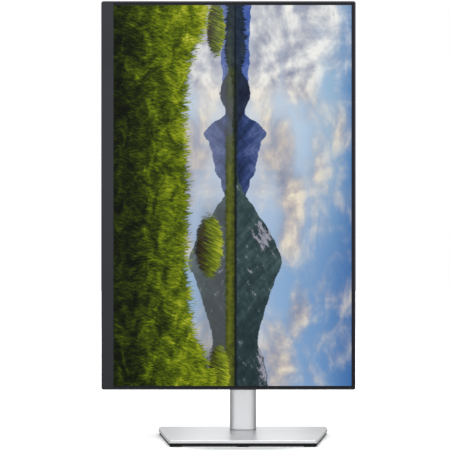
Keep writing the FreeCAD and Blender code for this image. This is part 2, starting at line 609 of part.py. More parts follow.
mp = new_body("mount_plate_body")
grow(mp, "disc", "y", "-(recess_floor - 0.1)", f"-({mount_back})",
     circle("0", "pivot_high", "mount_radius"))
for i, (dx, dz) in enumerate(((-38, 0), (38, 0), (0, -38), (0, 38))):
    carve(mp, f"light_{i}", "y", "-(recess_floor + 1)", f"-({mount_back} - 1)",
          circle(f"{dx}", f"pivot_high + {dz}", "7"))
carve(mp, "shaft_hole", "y", "-(recess_floor + 1)", f"-({mount_back} - 1)",
      circle("0", "pivot_high", "pivot_radius"))
publish(mp, "mount_plate")
publish(fuse("pivot_shaft_solid",
             rod("pivot_shaft_rod", "y", "pivot_radius", "0", "pivot_high", "-(recess_floor - 0.1)",
                 f"-({tilt_back} - 6.4)"),
             rod("pivot_shaft_tip", "y", "pivot_radius - 1", "0", "pivot_high", f"-({tilt_back} - 6)",
                 f"-({tilt_back} - 7)")), "pivot_shaft")
publish(cut("pivot_nut_cut",
            fuse("pivot_nut_solid",
                 nut("pivot_nut_o", "y", "17", "0", "pivot_high", f"-({tilt_back} - 1.2)",
                     f"-({tilt_back} - 5.4)"),
                     rod("pivot_nut_flange", "y", "9.8", "0", "pivot_high", f"-({tilt_back} - 0.1)",
                         f"-({tilt_back} - 1.4)")),
            rod("pivot_nut_i", "y", "pivot_radius", "0", "pivot_high", f"-({tilt_back} + 1)",
                f"-({tilt_back} - 9)")), "pivot_nut")

# ================================================================ display head
half_long = "panel_long / 2"


def panel_outline(inset, r=None):
    return rect(f"-(chin_reach - ({inset}))", f"pivot_high - ({half_long} - ({inset}))",
                f"top_reach - ({inset})",
                f"pivot_high + ({half_long} - ({inset}))", r or f"corner_round - ({inset}) / 2")


def panel_rect(left, right, end, r=None):
    """A rectangle in the panel's plane: left and right in X, end is the half length along Z."""
    return rect(left, f"pivot_high - ({end})", right, f"pivot_high + ({end})", r)


bezel = new_body("bezel_body")
grow(bezel, "slab", "y", "-(screen_fore - 0.5)", "-bezel_join", panel_outline("0"))
taper(bezel, "front_edge", "y", "-(screen_fore - 0.5)", panel_outline("0"), "-screen_fore",
      panel_outline("0.5"))
carve(bezel, "window", "y", "-(screen_fore + 1)", "-(bezel_join - 1)",
      panel_rect("-(chin_reach - chin_wide)", "top_reach - lip_wide", f"{half_long} - lip_wide", "0.8"))
carve(bezel, "chin_room", "y", "-glass_front", "-(bezel_join - 1)",
      panel_rect("-(chin_reach - 2)", "-(chin_reach - chin_wide - 1)", f"{half_long} - lip_wide"))
carve(bezel, "button_way", "x", "-(chin_reach + 1)", "-(chin_reach - 3)",
      rect("-(button_back + button_thick / 2 + 0.15)", "button_high - button_long / 2 - 0.15",
           "-(button_back - button_thick / 2 - 0.15)", "button_high + button_long / 2 + 0.15", "1.5"))
publish(bezel, "front_bezel")

glass_left, glass_right = "-(chin_reach - chin_wide + 3.4)", "top_reach - lip_wide - 0.1"
glass_end = f"{half_long} - lip_wide - 0.1"
glass_area = panel_rect(glass_left, glass_right, glass_end, "0.6")
sheet_area = panel_rect(f"{glass_left} + 4.2", f"{glass_right} - 1.4", f"{glass_end} - 1.4")
glass = new_body("glass_body")
grow(glass, "sheet", "y", "-glass_front", "-(glass_front - glass_thick)", glass_area)
publish(glass, "lcd_glass")
film_front = "glass_front - glass_thick - 0.05"
guide_front = f"{film_front} - film_thick - 0.05"
films = new_body("film_body")
grow(films, "sheet", "y", f"-({film_front})", f"-({film_front} - film_thick)", sheet_area)
mirror = new_body("mirror_body")
grow(mirror, "sheet", "y", f"-({guide_front} - guide_thick - 0.05)", "-(pan_front + 0.1)", sheet_area)
publish(group("sheet_group", films, mirror), "optical_sheets")
guide = new_body("guide_body")
grow(guide, "plate", "y", f"-({guide_front})", f"-({guide_front} - guide_thick)", sheet_area)
publish(guide, "light_guide")
bar = new_body("led_bar_body")
grow(bar, "strip", "y", f"-({guide_front})", f"-({guide_front} - guide_thick)",
     panel_rect(f"{glass_left} + 1.3", f"{glass_left} + 2.7", f"{glass_end} - 8"))
grow(bar, "first_led", "y", f"-({guide_front} - 0.4)", f"-({guide_front} - guide_thick + 0.4)",
     rect(f"{glass_left} + 2.6", f"pivot_high - ({glass_end} - 14)", f"{glass_left} + 3.9",
          f"pivot_high - ({glass_end} - 20)"))
row_of = bar.newObject("PartDesign::LinearPattern", "led_row")
doc.recompute()
row_of.Originals = [doc.getObject("first_led")]
row_of.Direction = (doc.getObject("first_led_sketch"), ["V_Axis"])
follow(row_of, "Length", f"2 * ({glass_end}) - 34")
row_of.Occurrences = 36
bar.Tip = row_of
publish(bar, "led_bar")
frame_body = new_body("mid_frame_body")
grow(frame_body, "ring", "y", f"-({film_front})", "-(pan_front + 0.05)", glass_area)
carve(frame_body, "way", "y", f"-({film_front} + 1)", "-(pan_front - 1)",
      panel_rect(f"{glass_left} + 1.1", f"{glass_right} - 1.1", f"{glass_end} - 1.1"))
publish(frame_body, "panel_frame")
pan = new_body("pan_body")
grow(pan, "sheet", "y", "-pan_front", "-(pan_front - pan_thick)", glass_area)
for i, s in enumerate((-1, 1)):
    grow(pan, f"rib_{i}", "y", "-(pan_front - pan_thick)", "-(pan_front - pan_thick - 0.5)",
         rect("-60", f"pivot_high + {s} * 200 - 30", "110", f"pivot_high + {s} * 200 + 30", "8"))
publish(pan, "panel_back_pan")

# ---------------------------------------------------------------- rear cover
def stick_rect(half, r=None):
    return rect(f"-(stick_x + {half})", f"stick_high - {half}", f"-(stick_x - {half})",
                f"stick_high + {half}", r)


def stick_circle(r):
    return circle("-stick_x", "stick_high", r)


def hump_outline(low, top, side, r):
    return rect(f"-({low})", f"pivot_high - ({side})", top, f"pivot_high + ({side})", r)


hump_foot = hump_outline("hump_low", "hump_top", "hump_side", "16")
hump_shoulder = hump_outline("hump_low_back", "hump_top_back", "hump_side_back", "12")
room_foot = hump_outline("hump_low - skin - 0.4", "hump_top - skin - 0.4", "hump_side - skin - 0.4", "14")
outer = new_body("cover_outer")
taper(outer, "rim", "y", "-(bezel_join - 0.1)", panel_outline("0"), "-thin_back",
      panel_outline("2.6", "corner_round - 0.6"))
taper(outer, "hump", "y", "-thin_back", hump_foot,
      "-(hump_back + 1.2)", hump_shoulder)
taper(outer, "hump_edge", "y", "-(hump_back + 1.2)", hump_shoulder,
      "-hump_back", hump_outline("hump_low_back - 1", "hump_top_back - 1", "hump_side_back - 1", "11"))
taper(outer, "stick_pod", "y", "-thin_back", stick_rect(13, "6"),
      "-(thin_back - 4.5)", stick_rect(11.4, "5"))
inner = new_body("cover_inner")
grow(inner, "rim_room", "y", "-(bezel_join + 1)", "-(thin_back + skin)", panel_outline("2.7", "2"))
grow(inner, "hump_mouth", "y", "-(thin_back + skin + 1)", "-thin_back", room_foot)
taper(inner, "hump_room", "y", "-thin_back", room_foot,
      "-(hump_back + skin)",
      hump_outline("hump_low_back - skin", "hump_top_back - skin", "hump_side_back - skin", "10"))
grow(inner, "pod_room", "y", "-(thin_back + skin + 1)", "-(thin_back - 2.3)",
     stick_rect(9.6, "3"))
wall = box("port_wall_block", "-(hump_low + 20)", "-(port_wall - skin)", "-(thin_back + skin)",
           "-(hump_back - 5)",
           "pivot_high - port_half - skin", "pivot_high + port_half + skin")
well = box("recess_block", "-(recess_half + skin)", "recess_half + skin", "-(recess_floor + skin)",
           "-(hump_back - 5)",
           "pivot_high - recess_half - skin", "pivot_high + recess_half + skin")
posts = [(x, z) for x in ("post_right", "-post_left")
         for z in ("pivot_high - post_rise", "pivot_high + post_rise")]
pillars = [rod(f"pillar_{i}", "y", "4.6", x, z, "-80", "-(hump_back + 1)") for i,
           (x, z) in enumerate(posts)]
room = cut("cover_room", inner, wall, well, *pillars)

bay = box("port_bay", "-(hump_low + 20)", "-port_wall", "-thin_back", "-(hump_back - 5)",
          "pivot_high - port_half", "pivot_high + port_half")
recess = new_body("recess_tool")
grow(recess, "way", "y", "-recess_floor", "-(hump_back - 5)",
     rect("-recess_half", "pivot_high - recess_half", "recess_half", "pivot_high + recess_half", "6"))
grow(recess, "latch_way", "y", "-(recess_floor + 5)", "-recess_floor",
     rect("-61.2", "pivot_high - 7.4", "-54.6", "pivot_high + 7.4"))
grow(recess, "button_way", "y", "-(hump_back + 3)", "-(hump_back - 1)",
     rect("-80.2", "pivot_high - 11.2", "-71.8", "pivot_high + 11.2", "3"))
grow(recess, "stick_way", "y", "-(thin_back + 1)", "-(thin_back - 6)", stick_circle("6.2"))
vents = new_body("vent_tool")
grow(vents, "slot_up", "y", "-(hump_back + 5)", "-(hump_back - 2)",
     rect("-40", "pivot_high + 74", "60", "pivot_high + 76", "0.98"))
grow(vents, "slot_down", "y", "-(hump_back + 5)", "-(hump_back - 2)",
     rect("-40", "pivot_high - 76", "60", "pivot_high - 74", "0.98"))
doc.recompute()
for tag, way in (("up", False), ("down", True)):
    many = vents.newObject("PartDesign::LinearPattern", f"vent_row_{tag}")
    many.Originals = [doc.getObject(f"slot_{tag}")]
    many.Direction = (doc.getObject(f"slot_{tag}_sketch"), ["V_Axis"])
    many.Reversed = way
    many.Length = 60
    many.Occurrences = 13
    vents.Tip = many
    doc.recompute()
top_vents = new_body("top_vent_tool")
grow(top_vents, "slot", "x", "hump_top_back - 12", "hump_top + 8",
     rect("-80", "pivot_high - 108", "-64", "pivot_high - 106", "0.98"))
doc.recompute()
many = top_vents.newObject("PartDesign::LinearPattern", "top_vent_row")
many.Originals = [doc.getObject("slot")]
many.Direction = (doc.getObject("slot_sketch"), ["V_Axis"])
many.Length = 210
many.Occurrences = 36
top_vents.Tip = many
doc.recompute()

# sockets on the port wall: name, centre along Z, half length, front face and back face in Y
SOCKETS = {"displayport": (40, 9.3, 87.8, 80.6), "hdmi": (12, 7.8, 87.8, 81.4),
           "vga": (-24, 9.6, 87.8, 76.8),
           "usb_b": (-56, 6.1, 87.8, 76.8), "usb_a": (-78, 7.2, 87.8, 80.8),
           "usb_c": (-98, 7.2, 87.8, 80.8), "inlet": (100, 13.8, 82.0, 61.0)}
vesa = [(x, z) for x in ("-vesa_half", "vesa_half") for z in ("vesa_half", "-vesa_half")]
port_tool = new_body("port_tool")
grow(port_tool, "ways", "x", "-(port_wall + 2)", "-(port_wall - skin - 2)",
     *[rect(f"-({f} + 0.1)", f"pivot_high + {z} - {h} - 0.1", f"-({k} - 0.1)",
            f"pivot_high + {z} + {h} + 0.1") for z, h, f, k in SOCKETS.values()],
     rect("-75", "pivot_high - 120.5", "-71.6", "pivot_high - 113.2", "1.5"))
shell = cut("cover_shell", outer, room, bay, recess, vents, top_vents, port_tool,
            *[rod(f"insert_way_{i}", "y", "insert_radius", x, f"pivot_high + {z}", "-(recess_floor + 5)",
                  "-(recess_floor - 5)")
              for i, (x, z) in enumerate(vesa)],
            *[rod(f"screw_way_{i}", "y", "1.7", x, z, "-81", "-(hump_back - 2)") for i,
              (x, z) in enumerate(posts)],
            *[rod(f"screw_well_{i}", "y", "3.5", x, z, "-(hump_back + 3)", "-(hump_back - 2)") for i,
              (x, z) in enumerate(posts)])
publish(shell, "rear_cover")
publish(group("rear_screw_group",
              *[screw(f"rear_screw_{i}", "y", x, z, "-(hump_back + 3)", -1, head_r=3.1, head_t=1.8,
                      shank_r=1.5, shank_t=32)
                                    for i, (x, z) in enumerate(posts)]), "rear_screws")

publish(group("insert_group",
              *[cut(f"insert_{i}",
                    rod(f"insert_o{i}", "y", "insert_radius", x, f"pivot_high + {z}",
                        "-(recess_floor + insert_deep)", "-recess_floor"),
                                    rod(f"insert_i{i}", "y", "insert_bore", x, f"pivot_high + {z}",
                                        "-(recess_floor + insert_deep + 1)", "-(recess_floor - 1)"))
                                for i, (x, z) in enumerate(vesa)]), "vesa_inserts")

chassis = new_body("chassis_body")
grow(chassis, "plate", "y", "-chassis_front", "-(chassis_front - chassis_thick)",
     rect("-114.4", "pivot_high - 156", "72", "pivot_high + 156", "6"))
grow(chassis, "legs", "y", "-(chassis_front - chassis_thick)", "-(recess_floor + skin + 0.1)",
     *[circle(x, f"pivot_high + {z}", "insert_radius + 2") for x, z in vesa])
grow(chassis, "tall_posts", "y", "-(chassis_front - chassis_thick)", "-80.1",
     *[circle(x, z, "4") for x, z in posts])
standoffs = [(x, f"pivot_high + {z}") for z in (-106, 56, 74, 132) for x in ("-108", "-63")]
grow(chassis, "standoffs", "y", "-(chassis_front - chassis_thick)", "-board_front",
     *[circle(x, z, "2.6") for x, z in standoffs])
carve(chassis, "insert_seats", "y", "-(recess_floor + insert_deep + 0.5)", "-(recess_floor - 1)",
      *[circle(x, f"pivot_high + {z}", "insert_radius") for x, z in vesa])
carve(chassis, "post_taps", "y", "-90", "-79", *[circle(x, z, "1.5") for x, z in posts])
carve(chassis, "cut_outs", "y", "-(chassis_front + 1)", "-(chassis_front - chassis_thick - 1)",
      rect("-30", "pivot_high - 30", "30", "pivot_high + 30", "8"),
      rect("0", "pivot_high + 90", "50", "pivot_high + 130", "6"),
      rect("0", "pivot_high - 130", "50", "pivot_high - 90", "6"))
publish(chassis, "board_chassis")

back = "-(board_front - board_thick)"
main = new_body("main_body")
grow(main, "board", "y", "-board_front", back,
     rect("-board_left", "pivot_high - 112", "-board_right", "pivot_high + 62", "2"))
grow(main, "heat_sink_base", "y", back, f"{back} + 3",
     rect("-96", "pivot_high - 22", "-68", "pivot_high + 6"))
grow(main, "fins", "y", f"{back} + 2.9", f"{back} + 11",
     *[rect(f"{-96 + 4 * i}", "pivot_high - 22", f"{-94.8 + 4 * i}", "pivot_high + 6") for i in range(7)])
grow(main, "chips", "y", back, f"{back} + 1.4", rect("-92", "pivot_high - 60", "-78", "pivot_high - 46"),
     rect("-74", "pivot_high + 20", "-62", "pivot_high + 40"),
     rect("-96", "pivot_high - 92", "-86", "pivot_high - 82"))
grow(main, "cans", "y", back, f"{back} + 8", circle("-66", "pivot_high - 40", "3.2"),
     circle("-66", "pivot_high - 50", "3.2"), circle("-70", "pivot_high - 84", "4"))
grow(main, "panel_plug", "y", back, f"{back} + 5", rect("-66", "pivot_high - 24", "-60", "pivot_high + 8"))
publish(main, "main_board")

power = new_body("power_body")
grow(power, "board", "y", "-board_front", back,
     rect("-board_left", "pivot_high + 68", "-board_right", "pivot_high + 138", "2"))
grow(power, "transformer", "y", back, f"{back} + 21",
     rect("-90", "pivot_high + 92", "-66", "pivot_high + 114", "1.5"))
grow(power, "big_can", "y", back, f"{back} + 24", circle("-78", "pivot_high + 80.5", "8"))
grow(power, "cans", "y", back, f"{back} + 13", circle("-64.5", "pivot_high + 84", "3.5"),
     circle("-64.5", "pivot_high + 122", "4"), circle("-100", "pivot_high + 80", "5"))
grow(power, "sink", "y", back, f"{back} + 19", rect("-92", "pivot_high + 119", "-70", "pivot_high + 121.4"))
grow(power, "fuse", "y", back, f"{back} + 5",
     rect("-112", "pivot_high + 88", "-106", "pivot_high + 108", "1"))
publish(power, "power_board")


def socket(name, depth, lip, tongue):
    z, h, f, k = SOCKETS[name]
    s = new_body(f"{name}_socket_body")
    grow(s, f"{name}_shell", "x", "-port_wall", f"-(port_wall - {depth})",
         rect(f"-{f}", f"pivot_high + {z} - {h}", f"-{k}", f"pivot_high + {z} + {h}", "0.6"))
    carve(s, f"{name}_mouth", "x", "-(port_wall + 1)", f"-(port_wall - {depth} + 3)",
          rect(f"-({f} - {lip})", f"pivot_high + {z} - {h} + {lip}", f"-({k} + {lip})",
               f"pivot_high + {z} + {h} - {lip}", "0.5"))
    for i, (ty, tz, ly, lz) in enumerate(tongue):
        grow(s, f"{name}_tongue_{i}", "x", "-(port_wall - 1.5)", f"-(port_wall - {depth} + 2)",
             rect(f"-{ty} - {ly}", f"pivot_high + {z + tz} - {lz}", f"-{ty} + {ly}",
                  f"pivot_high + {z + tz} + {lz}"))
    return s


dp = socket("displayport", 13, 1.1, [(84.2, 0, 0.7, 6.2)])
hd = socket("hdmi", 12, 0.9, [(84.6, 0, 0.6, 5.2)])
vga_z = SOCKETS["vga"][0]
vg = socket("vga", 12, 1.3, [(82.3, 0, 3.2, 7.4)])
jack = [nut(f"vga_post_{i}", "x", "5", "-82.3", f"pivot_high + {vga_z} + {d}", "-(port_wall + 3)",
            "-port_wall") for i, d in enumerate((-12.6, 12.6))]
publish(group("video_group", dp, hd, vg, *jack), "video_sockets")
ub = socket("usb_b", 15, 1.4, [(82.3, 0, 1.7, 2.6)])
ua = socket("usb_a", 14, 0.8, [(85.1, 0, 0.9, 5.6)])
uc = socket("usb_c", 14, 0.8, [(85.1, 0, 0.9, 5.6)])
publish(group("usb_group", ub, ua, uc), "usb_sockets")
ac = socket("inlet", 22, 1.9, [(74.6, 0, 2.0, 0.9), (67.6, -7, 2.0, 0.9), (67.6, 7, 2.0, 0.9)])
publish(ac, "ac_inlet")

catch = new_body("catch_body")
grow(catch, "hook", "z", "pivot_high - 22", "pivot_high + 22", poly(
    ("54.9", "-recess_floor"), ("61", "-recess_floor"), ("61", "-53.8"), ("52.4", "-53.8"),
    ("52.4", "-55.25"), ("54.9", "-55.25")))
publish(catch, "catch_plate")

# ---------------------------------------------------------------- stand release
latch = new_body("latch_body")
grow(latch, "slide", "y", "-61.8", "-60.4", rect("-86", "pivot_high - 7", "-55.2", "pivot_high + 7"))
grow(latch, "hook", "z", "pivot_high - 6.6", "pivot_high + 6.6", poly(
    ("-57.6", "-60.5"), ("-57.6", "-54.3"), ("-52.6", "-54.3"), ("-52.6", "-55.3"), ("-55.2", "-55.3"),
    ("-55.2", "-60.5")))
carve(latch, "window", "y", "-63", "-60", rect("-78.6", "pivot_high - 4.6", "-70.4", "pivot_high + 4.6"))
publish(latch, "release_latch")
press = new_body("release_body")
grow(press, "cap", "y", "-(hump_back + 2.4)", "-hump_back",
     rect("-80", "pivot_high - 11", "-72", "pivot_high + 11", "2.8"))
grow(press, "flange", "y", "-(hump_back + 3.6)", "-(hump_back + 2.3)",
     rect("-81.6", "pivot_high - 12.6", "-70.4", "pivot_high + 12.6", "3"))
grow(press, "wedge", "z", "pivot_high - 4", "pivot_high + 4", poly(
    ("-74", "-(hump_back + 3)"), ("-74", "-60.3"), ("-78.4", "-60.3"), ("-81.4", "-57.3"),
    ("-81.4", "-(hump_back + 3)")))
carve(press, "grip", "y", "-(hump_back + 0.6)", "-(hump_back - 1)",
      *[rect(f"{-78.6 + 1.6 * i}", "pivot_high - 8", f"{-78.0 + 1.6 * i}", "pivot_high + 8")
        for i in range(5)])
publish(press, "release_button")
guide_block = new_body("guide_block_body")
grow(guide_block, "block", "y", "-64", "-(hump_back + skin + 0.1)",
     rect("-98", "pivot_high - 9", "-95", "pivot_high + 9"))
grow(guide_block, "rails", "y", "-62.6", "-(hump_back + skin + 0.1)",
     rect("-95.5", "pivot_high - 9", "-84", "pivot_high - 7.2"),
     rect("-95.5", "pivot_high + 7.2", "-84", "pivot_high + 9"))
publish(guide_block, "latch_guide")
spring = cut("latch_spring_cut", rod("latch_spring_o", "x", "2.4", "-61.1", "pivot_high", "-95", "-86"),
             rod("latch_spring_i", "x", "1.6", "-61.1", "pivot_high", "-96", "-85"))
publish(spring, "latch_spring")

# ---------------------------------------------------------------- keys
def key_rect(wider, r=None):
    return rect(f"-(button_back + button_thick / 2 + {wider})", f"button_high - button_long / 2 - {wider}",
                f"-(button_back - button_thick / 2 - {wider})", f"button_high + button_long / 2 + {wider}",
                r)


lens_rect = rect("-(button_back + 1.4)", "button_high - 2", "-(button_back - 1.4)", "button_high + 2",
                 "0.9")
key = new_body("key_body")
grow(key, "cap", "x", "-chin_reach", "-(chin_reach - 2.3)", key_rect(0, "1.4"))
grow(key, "flange", "x", "-(chin_reach - 2.15)", "-(chin_reach - 3.2)", key_rect(0.9))
grow(key, "stem", "x", "-(chin_reach - 3)", "-(chin_reach - 4.2)",
     circle("-button_back", "button_high", "1.1"))
carve(key, "lens_way", "x", "-(chin_reach + 1)", "-(chin_reach - 1.6)", lens_rect)
publish(key, "power_button")
lens = new_body("lens_body")
grow(lens, "light_pipe", "x", "-(chin_reach + lens_proud)", "-(chin_reach - 1.6)", lens_rect)
publish(lens, "button_lens")
keys = new_body("key_board_body")
grow(keys, "board", "x", "-(chin_reach - 8.4)", "-(chin_reach - 9.6)",
     rect("-(button_back + 2.6)", "button_high - 16", "-(button_back - 3.4)", "button_high + 16"))
grow(keys, "switch", "x", "-(chin_reach - 5.5)", "-(chin_reach - 8.5)",
     rect("-(button_back + 2)", "button_high - 3", "-(button_back - 2)", "button_high + 3"))
grow(keys, "plunger", "x", "-(chin_reach - 5.3)", "-(chin_reach - 5.6)",
     circle("-button_back", "button_high", "1"))
publish(keys, "key_board")

stick = new_body("stick_base_body")
grow(stick, "board", "y", "-93.9", "-92.8", stick_rect(9))
grow(stick, "cup", "y", "-92.9", "-88.6", stick_rect(6.8, "0.8"))
carve(stick, "bowl", "y", "-91.9", "-88", stick_circle("5.6"))
carve(stick, "bearings", "x", "-(stick_x + 6.4)", "-(stick_x - 6.4)",
      circle("-stick_plane", "stick_high", "0.56"))
publish(stick, "joystick_base")
ring_body = new_body("stick_ring_body")
grow(ring_body, "ring", "y", "-90.6", "-89.4", stick_circle("5.3"))
carve(ring_body, "eye", "y", "-91", "-89", stick_circle("4.4"))
grow(ring_body, "pin_a", "x", "-(stick_x + 6.2)", "-(stick_x + 4.9)",
     circle("-stick_plane", "stick_high", "0.5"))
grow(ring_body, "pin_b", "x", "-(stick_x - 4.9)", "-(stick_x - 6.2)",
     circle("-stick_plane", "stick_high", "0.5"))
carve(ring_body, "bearings", "z", "stick_high - 6", "stick_high + 6",
      circle("-stick_x", "-stick_plane", "0.56"))
publish(ring_body, "joystick_ring")
cradle = new_body("stick_cradle_body")
grow(cradle, "hub", "y", "-90.6", "-89.2", stick_circle("3.9"))
grow(cradle, "pin_a", "z", "stick_high + 3.6", "stick_high + 5", circle("-stick_x", "-stick_plane", "0.5"))
grow(cradle, "pin_b", "z", "stick_high - 5", "stick_high - 3.6", circle("-stick_x", "-stick_plane", "0.5"))
carve(cradle, "bore", "y", "-91", "-88", stick_circle("2.3"))
publish(cradle, "joystick_cradle")
tip = new_body("stick_cap_body")
grow(tip, "stem", "y", "-90.9", "-84", stick_circle("2.2"))
grow(tip, "cap", "y", "-84.6", "-81.6", stick_circle("5"))
taper(tip, "crown", "y", "-81.6", stick_circle("5"), "-80.8", stick_circle("4"))
carve(tip, "dish", "y", "-81.3", "-80", stick_circle("2.4"))
publish(tip, "joystick_cap")

# ================================================================ checks and export
doc.recompute()
problems = []
for thing in doc.Objects:
    if any(word in thing.State for word in ("Invalid", "Error")):
        problems.append(f"{thing.Name}: {thing.State}")
for node, thing in published.items():
    if thing.Shape.isNull() or not thing.Shape.isValid() or not thing.Shape.Solids or thing.Shape.Volume <= 0:
        problems.append(f"{node}: bad shape")
if problems:
    raise RuntimeError("; ".join(problems))
os.makedirs("parts", exist_ok=True)
for node, thing in published.items():
    thing.Shape.exportStep(f"parts/{node}.step")
print(len(published), "nodes")
for node, thing in published.items():
    around = thing.Shape.BoundBox
    print(f"{node:22s} solids {len(thing.Shape.Solids):2d} vol {thing.Shape.Volume:10.1f}",
          f" x {around.XMin:7.1f} {around.XMax:7.1f}  y {around.YMin:7.1f} {around.YMax:7.1f}",
          f" z {around.ZMin:7.1f} {around.ZMax:7.1f}")
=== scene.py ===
import math

import bpy
import numpy as np
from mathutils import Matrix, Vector


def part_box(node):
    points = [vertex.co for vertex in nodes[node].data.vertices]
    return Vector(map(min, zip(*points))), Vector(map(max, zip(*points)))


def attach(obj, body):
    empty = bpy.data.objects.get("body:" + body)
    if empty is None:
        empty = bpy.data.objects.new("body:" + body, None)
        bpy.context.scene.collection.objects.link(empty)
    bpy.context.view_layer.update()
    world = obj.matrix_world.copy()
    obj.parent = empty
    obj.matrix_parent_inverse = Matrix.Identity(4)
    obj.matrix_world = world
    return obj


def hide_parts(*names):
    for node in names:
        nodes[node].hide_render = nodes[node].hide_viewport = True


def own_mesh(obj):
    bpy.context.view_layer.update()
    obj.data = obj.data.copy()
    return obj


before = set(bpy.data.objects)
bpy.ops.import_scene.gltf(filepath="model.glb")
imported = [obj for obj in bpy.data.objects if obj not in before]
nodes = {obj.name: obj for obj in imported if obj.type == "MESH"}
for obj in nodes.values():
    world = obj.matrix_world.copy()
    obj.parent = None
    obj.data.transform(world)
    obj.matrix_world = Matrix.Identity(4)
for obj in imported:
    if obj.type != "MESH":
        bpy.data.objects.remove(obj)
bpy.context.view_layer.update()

MM = 0.001


# ---------------------------------------------------------------- node helpers
def srgb(red, green, blue):
    """A colour given in 0 to 255 display steps, as linear light."""
    steps = np.array([red, green, blue]) / 255
    linear = np.where(steps <= 0.04045, steps / 12.92, ((steps + 0.055) / 1.055) ** 2.4)
    return tuple(float(x) for x in linear) + (1.0,)


class Wire:
    """A value in a node tree that can be added, multiplied and compared like a number."""

    def __init__(self, tree, socket):
        self.tree, self.socket = tree, socket

    def math(self, operation, *others):
        node = self.tree.nodes.new("ShaderNodeMath")
        node.operation = operation
        plug(self.tree, node.inputs[0], self)
        for place, other in enumerate(others, 1):
            plug(self.tree, node.inputs[place], other)
        return Wire(self.tree, node.outputs[0])

    def __add__(self, other):
        return self.math("ADD", other)

    def __sub__(self, other):
        return self.math("SUBTRACT", other)

    def __mul__(self, other):
        return self.math("MULTIPLY", other)

    def __truediv__(self, other):
        return self.math("DIVIDE", other)

    def __rsub__(self, other):
        return self * -1.0 + other

    __radd__, __rmul__ = __add__, __mul__

    def clipped(self):
        node = self.tree.nodes.new("ShaderNodeClamp")
        plug(self.tree, node.inputs["Value"], self)
        return Wire(self.tree, node.outputs[0])

    def smooth(self, low, high):
        """0 below low, 1 above high, and an eased step between them."""
        node = self.tree.nodes.new("ShaderNodeMapRange")
        node.interpolation_type = "SMOOTHSTEP"
        plug(self.tree, node.inputs["Value"], self)
        plug(self.tree, node.inputs["From Min"], low)
        plug(self.tree, node.inputs["From Max"], high)
        return Wire(self.tree, node.outputs["Result"])

    def curve(self, points):
        """A smooth line through (place, height) points."""
        node = self.tree.nodes.new("ShaderNodeFloatCurve")
        line = node.mapping.curves[0]
        for index, (place, height) in enumerate(points):
            if index < 2:
                line.points[index].location = (place, height)
            else:
                line.points.new(place, height)
        node.mapping.update()
        plug(self.tree, node.inputs["Value"], self)
        return Wire(self.tree, node.outputs[0])

    def ramp(self, stops):
        """A colour read from (place, colour) stops."""
        node = self.tree.nodes.new("ShaderNodeValToRGB")
        band = node.color_ramp
        for index, (place, colour) in enumerate(stops):
            stop = band.elements[index] if index < 2 else band.elements.new(place)
            stop.position = place
            stop.color = colour
        plug(self.tree, node.inputs[0], self)
        return Wire(self.tree, node.outputs["Color"])


def plug(tree, socket, value):
    """Links a Wire to a socket, or sets the socket to a plain value."""
    if isinstance(value, Wire):
        tree.links.new(value.socket, socket)
    else:
        socket.default_value = value


def blend_colours(tree, share, first, second):
    node = tree.nodes.new("ShaderNodeMix")
    node.data_type = "RGBA"
    plug(tree, node.inputs["Factor"], share)
    plug(tree, node.inputs["A"], first)
    plug(tree, node.inputs["B"], second)
    return Wire(tree, node.outputs["Result"])


def vector(tree, x, y, z):
    node = tree.nodes.new("ShaderNodeCombineXYZ")
    for socket, value in zip(node.inputs, (x, y, z)):
        plug(tree, socket, value)
    return Wire(tree, node.outputs[0])


def noise(tree, where, scale, detail, rough=0.5, twist=0.0):
    node = tree.nodes.new("ShaderNodeTexNoise")
    plug(tree, node.inputs["Vector"], where)
    plug(tree, node.inputs["Scale"], scale)
    node.inputs["Detail"].default_value = detail
    node.inputs["Roughness"].default_value = rough
    node.inputs["Distortion"].default_value = twist
    return Wire(tree, node.outputs["Fac"])


def object_place(tree):
    """Object coordinates, whole and as three separate values."""
    place = tree.nodes.new("ShaderNodeTexCoord").outputs["Object"]
    split = tree.nodes.new("ShaderNodeSeparateXYZ")
    tree.links.new(place, split.inputs[0])
    return Wire(tree, place), *[Wire(tree, socket) for socket in split.outputs]


def bump(tree, height, depth):
    """A normal from a height that varies over the surface; depth is the relief in metres."""
    node = tree.nodes.new("ShaderNodeBump")
    node.inputs["Distance"].default_value = depth
    plug(tree, node.inputs["Height"], height)
    return Wire(tree, node.outputs[0])


VALUE, DIRECTION = "NodeSocketFloat", "NodeSocketVector"


def node_group(name, inputs, outputs):
    """A new shader group with inputs (name, kind, start value) and the names of its value outputs."""
    tree = bpy.data.node_groups.new(name, "ShaderNodeTree")
    for label, kind, start in inputs:
        made = tree.interface.new_socket(label, in_out="INPUT", socket_type=kind)
        made.default_value = start
    for label in outputs:
        tree.interface.new_socket(label, in_out="OUTPUT", socket_type=VALUE)
    source, sink = tree.nodes.new("NodeGroupInput"), tree.nodes.new("NodeGroupOutput")
    return tree, {s.name: Wire(tree, s) for s in source.outputs if s.name}, sink


def use_group(tree, group, **values):
    node = tree.nodes.new("ShaderNodeGroup")
    node.node_tree = group
    for label, value in values.items():
        plug(tree, node.inputs[label.replace("_", " ")], value)
    return {s.name: Wire(tree, s) for s in node.outputs}


